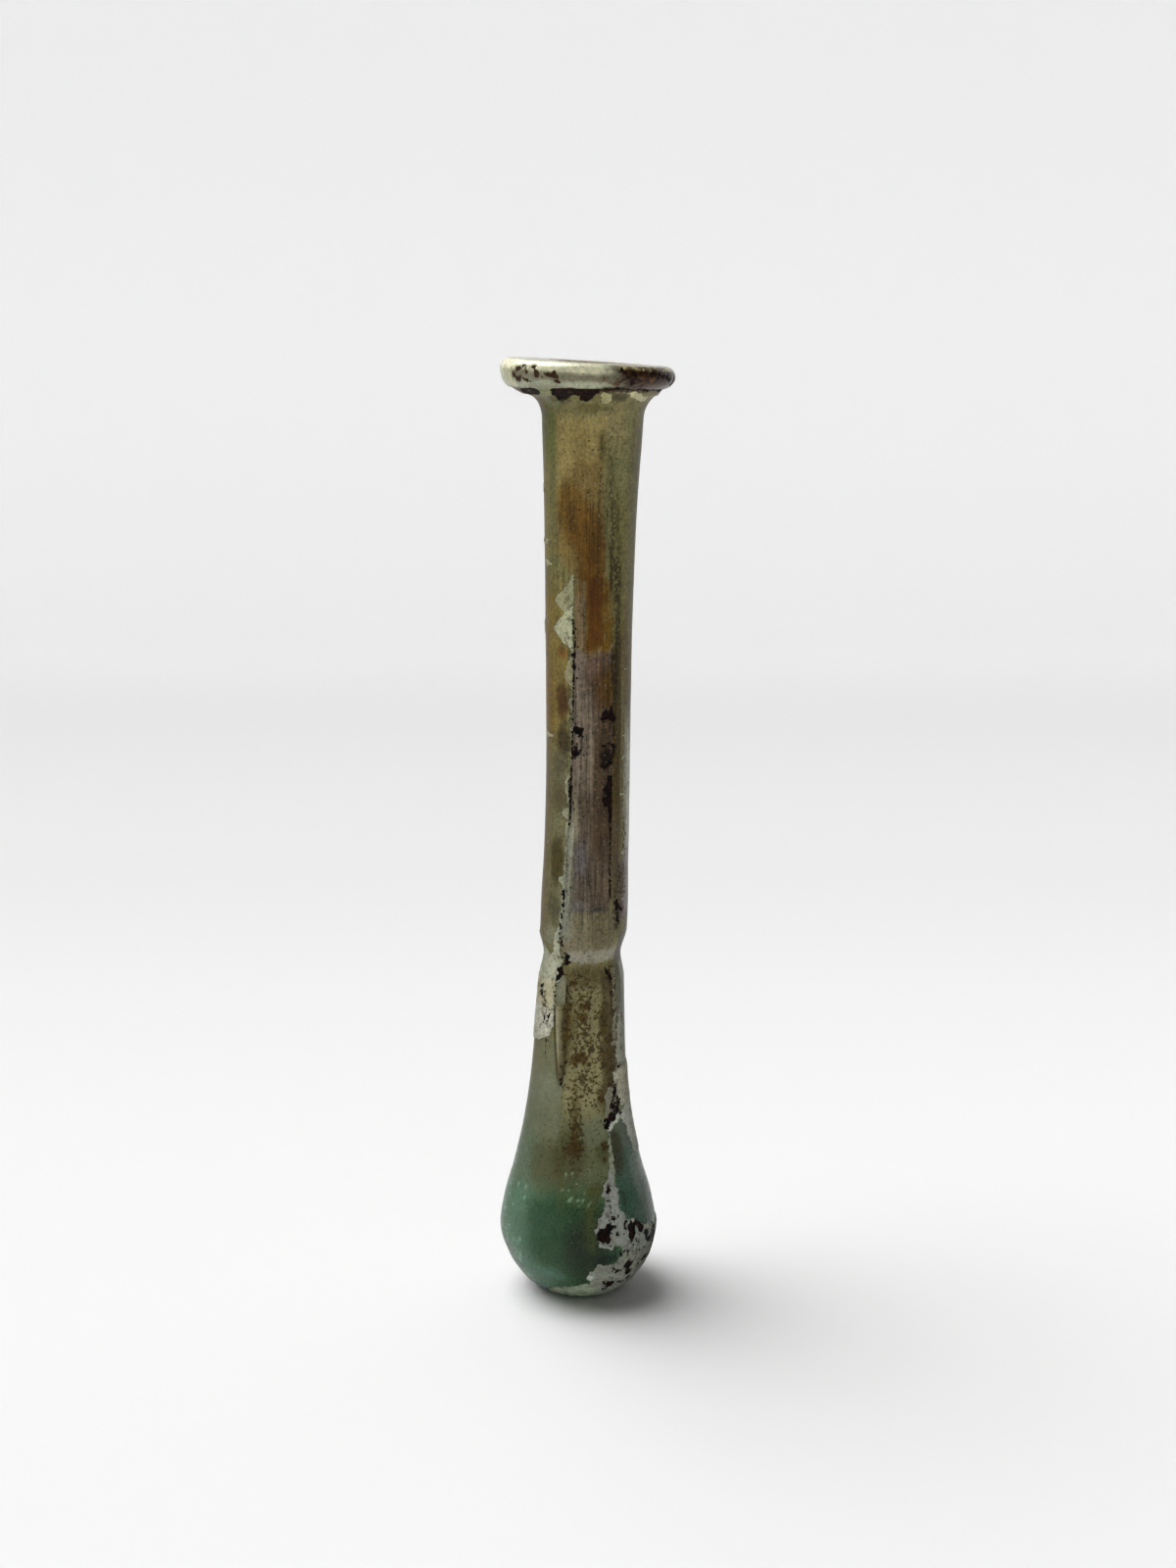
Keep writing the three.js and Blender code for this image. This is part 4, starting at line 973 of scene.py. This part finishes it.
# brown spots in the beige film
edge_noise = plus(times(less(g_r, 0.5), 0.19), times(less(n_fine, 0.5), 0.22), times(less(n_grain, 0.5), 0.12))
spots = plus(times(n_mid, 0.34), times(n_fine, 0.5), times(g_b, 0.12), 0.02)
spot_where = math_node("MAXIMUM", a_mot, ramp(a_stain, 0.1, 0.4))
spot_d = plus(spots, times(a_stain, 0.125), times(less(g_r, 0.5), 0.05))
spot_mask = times(ramp(spot_d, 0.555, 0.595), spot_where)
colour = mix(times(ramp(spot_d, 0.5, 0.575), spot_where, 0.3), colour, shade(86, 74, 36, 1.7))
colour = mix(times(spot_mask, 0.85), colour, mix(ramp(g_b, 0.3, 0.7), shade(62, 48, 16, 1.6), shade(42, 31, 10, 1.6)))

# dark outlines round small beads in the neck's dark bands
bead = grains(2500, 1.7, 0.13, "DISTANCE_TO_EDGE")
bead_where = math_node("MULTIPLY", ramp(plus(n_mid, times(less(n_draw, 0.5), 0.7)), 0.38, 0.48), a_spk, clamp=True)
bead_line = times(ramp(bead, 0.27, 0.14), bead_where)
bead_blot = times(ramp(h_g, 0.36, 0.32), ramp(h_d, 0.62, 0.45), bead_where)
colour = mix(times(ramp(bead, 0.22, 0.4), bead_where, 0.3), colour, shade(132, 130, 80, 1.4))
speck_mask = math_node("MAXIMUM", bead_line, bead_blot)
colour = mix(times(speck_mask, 0.95), colour, shade(38, 31, 12, 1.7))

# crust: painted shadow along the outside of its edge, a pale lip along the inside
crust_d = plus(a_crust, edge_noise)
crust_mask = ramp(crust_d, 0.0, 0.04)
colour = scaled(colour, ramp(crust_d, -0.13, 0.0, 1.0, 0.5))
crust_gain = plus(ramp(n_mid, 0.25, 0.75, 0.92, 1.24), ramp(n_fine, 0.3, 0.7, -0.18, 0.17), ramp(g_b, 0.0, 1.0, -0.13, 0.13))
crust_col = scaled(attr("crust_tone", "Color"), crust_gain)
crust_col = mix(times(ramp(plus(times(n_mid, 0.6), times(n_fine, 0.4)), 0.46, 0.39), 0.55), crust_col, shade(84, 74, 50, 1.5))
lip_mask = times(crust_mask, ramp(crust_d, 0.2, 0.05))
crust_col = mix(times(lip_mask, 0.35), crust_col, shade(178, 176, 154, 1.25))
colour = mix(crust_mask, colour, crust_col)

# pits, and the painted shadow under the rim: black edges, red-brown grains inside, crumbs around
pit_and_shade_d = plus(a_pit_and_shade, edge_noise)
pit_and_shade_mask = ramp(pit_and_shade_d, 0.0, 0.035)
crumb = times(ramp(h_b, 0.66, 0.7), ramp(h_d, 0.32, 0.22), ramp(a_pit_and_shade, -0.6, -0.2))
pit_and_shade_mask = math_node("MAXIMUM", pit_and_shade_mask, crumb)
pit_and_shade_col = mix(times(ramp(pit_and_shade_d, 0.07, 0.14), ramp(g_b, 0.56, 0.66)), shade(9, 6, 4), shade(33, 12, 9, 1.3))
pit_and_shade_col = mix(times(ramp(pit_and_shade_d, 0.05, 0.1), ramp(h_g, 0.94, 0.97), 0.5), pit_and_shade_col, shade(96, 82, 64, 1.3))
pit_and_shade_col = scaled(pit_and_shade_col, ramp(n_grain, 0.3, 0.7, 0.75, 1.3))
pit_and_shade_col = mix(times(attr("gloss"), 0.75), pit_and_shade_col, shade(72, 50, 28, 1.2))  # thinner and browner on the rim
colour = mix(pit_and_shade_mask, colour, pit_and_shade_col)

cover = math_node("MAXIMUM", math_node("MAXIMUM", crust_mask, pit_and_shade_mask), times(spot_mask, 0.7))
rough_out = plus(attr("rough"), ramp(n_fine, 0.3, 0.7, -0.06, 0.1))
rough_out = math_node("MAXIMUM", rough_out, times(cover, 0.72))
clear_out = times(attr("clear"), less(1.0, cover))
pearl = times(attr("gloss"), less(1.0, times(cover, 0.9)))

height = plus(times(crust_mask, 0.6), times(n_fine, plus(times(a_grain, 0.25), 0.1)), times(g_r, a_grain, 0.2), times(n_line, a_streak, 0.4))
height = less(height, plus(times(pit_and_shade_mask, 0.7), times(speck_mask, 0.45), times(spot_mask, 0.2), times(pin, 0.4)))
bump = node("ShaderNodeBump", inputs={"Strength": 0.6, "Distance": 0.00012, "Height": height}).outputs[0]

bsdf = node("ShaderNodeBsdfPrincipled", inputs={
    "Base Color": colour, "Roughness": rough_out, "Transmission Weight": clear_out, "Normal": bump,
    "Coat Weight": times(pearl, 0.3), "Metallic": times(pearl, 0.13), "Coat Roughness": 0.2, "IOR": 1.5, "Specular IOR Level": 0.12})
out = node("ShaderNodeOutputMaterial", inputs={"Surface": bsdf.outputs[0]})
mesh.materials.append(mat)

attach(vessel, "root")
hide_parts("glass_vessel")

# ------------------------------------------------------------------ stage: one pale sweep of floor and wall
DEPTH, WIDE, SWEEP, TALL = 0.55, 3.0, 0.5, 1.1
profile = [(-2.5, 0.0), (DEPTH, 0.0)]
profile += [(DEPTH + SWEEP * np.sin(a), SWEEP - SWEEP * np.cos(a)) for a in np.linspace(0.05, np.pi / 2, 30)]
profile += [(DEPTH + SWEEP, TALL)]
sv = [(x, y, z) for x in (-WIDE, WIDE) for y, z in profile]
k = len(profile)
sf = [(i, i + 1, k + i + 1, k + i)[::-1] for i in range(k - 1)]
sm = bpy.data.meshes.new("sweep")
sm.from_pydata(sv, [], sf)
sm.polygons.foreach_set("use_smooth", np.ones(len(sm.polygons), bool))
sweep = bpy.data.objects.new("sweep", sm)
bpy.context.scene.collection.objects.link(sweep)
fmat = bpy.data.materials.new("sweep_paper")
fmat.use_nodes = True
nt = fmat.node_tree
fb = nt.nodes["Principled BSDF"]
fb.inputs["Roughness"].default_value = 0.9
fb.inputs["Specular IOR Level"].default_value = 0.0
fb.inputs["Emission Color"].default_value = (1, 1, 1, 1)
away = node("ShaderNodeSeparateXYZ", inputs={0: node("ShaderNodeTexCoord").outputs["Object"]}).outputs["Y"]
# painted shade and painted light: the paper is a little darker further back and glows more up the wall, to set the
# backdrop's brightness
nt.links.new(ramp(away, 0.02, 0.25, 0.9, 0.83), fb.inputs["Base Color"])
nt.links.new(ramp(away, 0.4, 1.0, 0.0, 0.49), fb.inputs["Emission Strength"])
sm.materials.append(fmat)

# ------------------------------------------------------------------ light: a soft studio with its bright side behind, above and to the left,
# and a weaker glow from the front
world = bpy.data.worlds.new("studio")
bpy.context.scene.world = world
world.use_nodes = True
nt = world.node_tree
bg = nt.nodes["Background"]
bg.inputs["Color"].default_value = (1, 1, 1, 1)
way = node("ShaderNodeTexCoord").outputs["Generated"]


def glow(x, y, z, edge, strength):
    d = np.array([x, y, z]) / np.sqrt(x * x + y * y + z * z)
    toward = node("ShaderNodeVectorMath", operation="DOT_PRODUCT", inputs={0: way, 1: tuple(d)}).outputs["Value"]
    return ramp(toward, edge, 1.0, 0.0, strength)


back_left, frontal = glow(-0.47, 0.27, 0.84, 0.8, 5.8), glow(0.3, -0.95, 0.0, 0.7, 0.25)
nt.links.new(math_node("ADD", math_node("ADD", back_left, frontal), 0.05), bg.inputs["Strength"])
bpy.context.scene.view_settings.view_transform = "Standard"

bpy.context.view_layer.update()
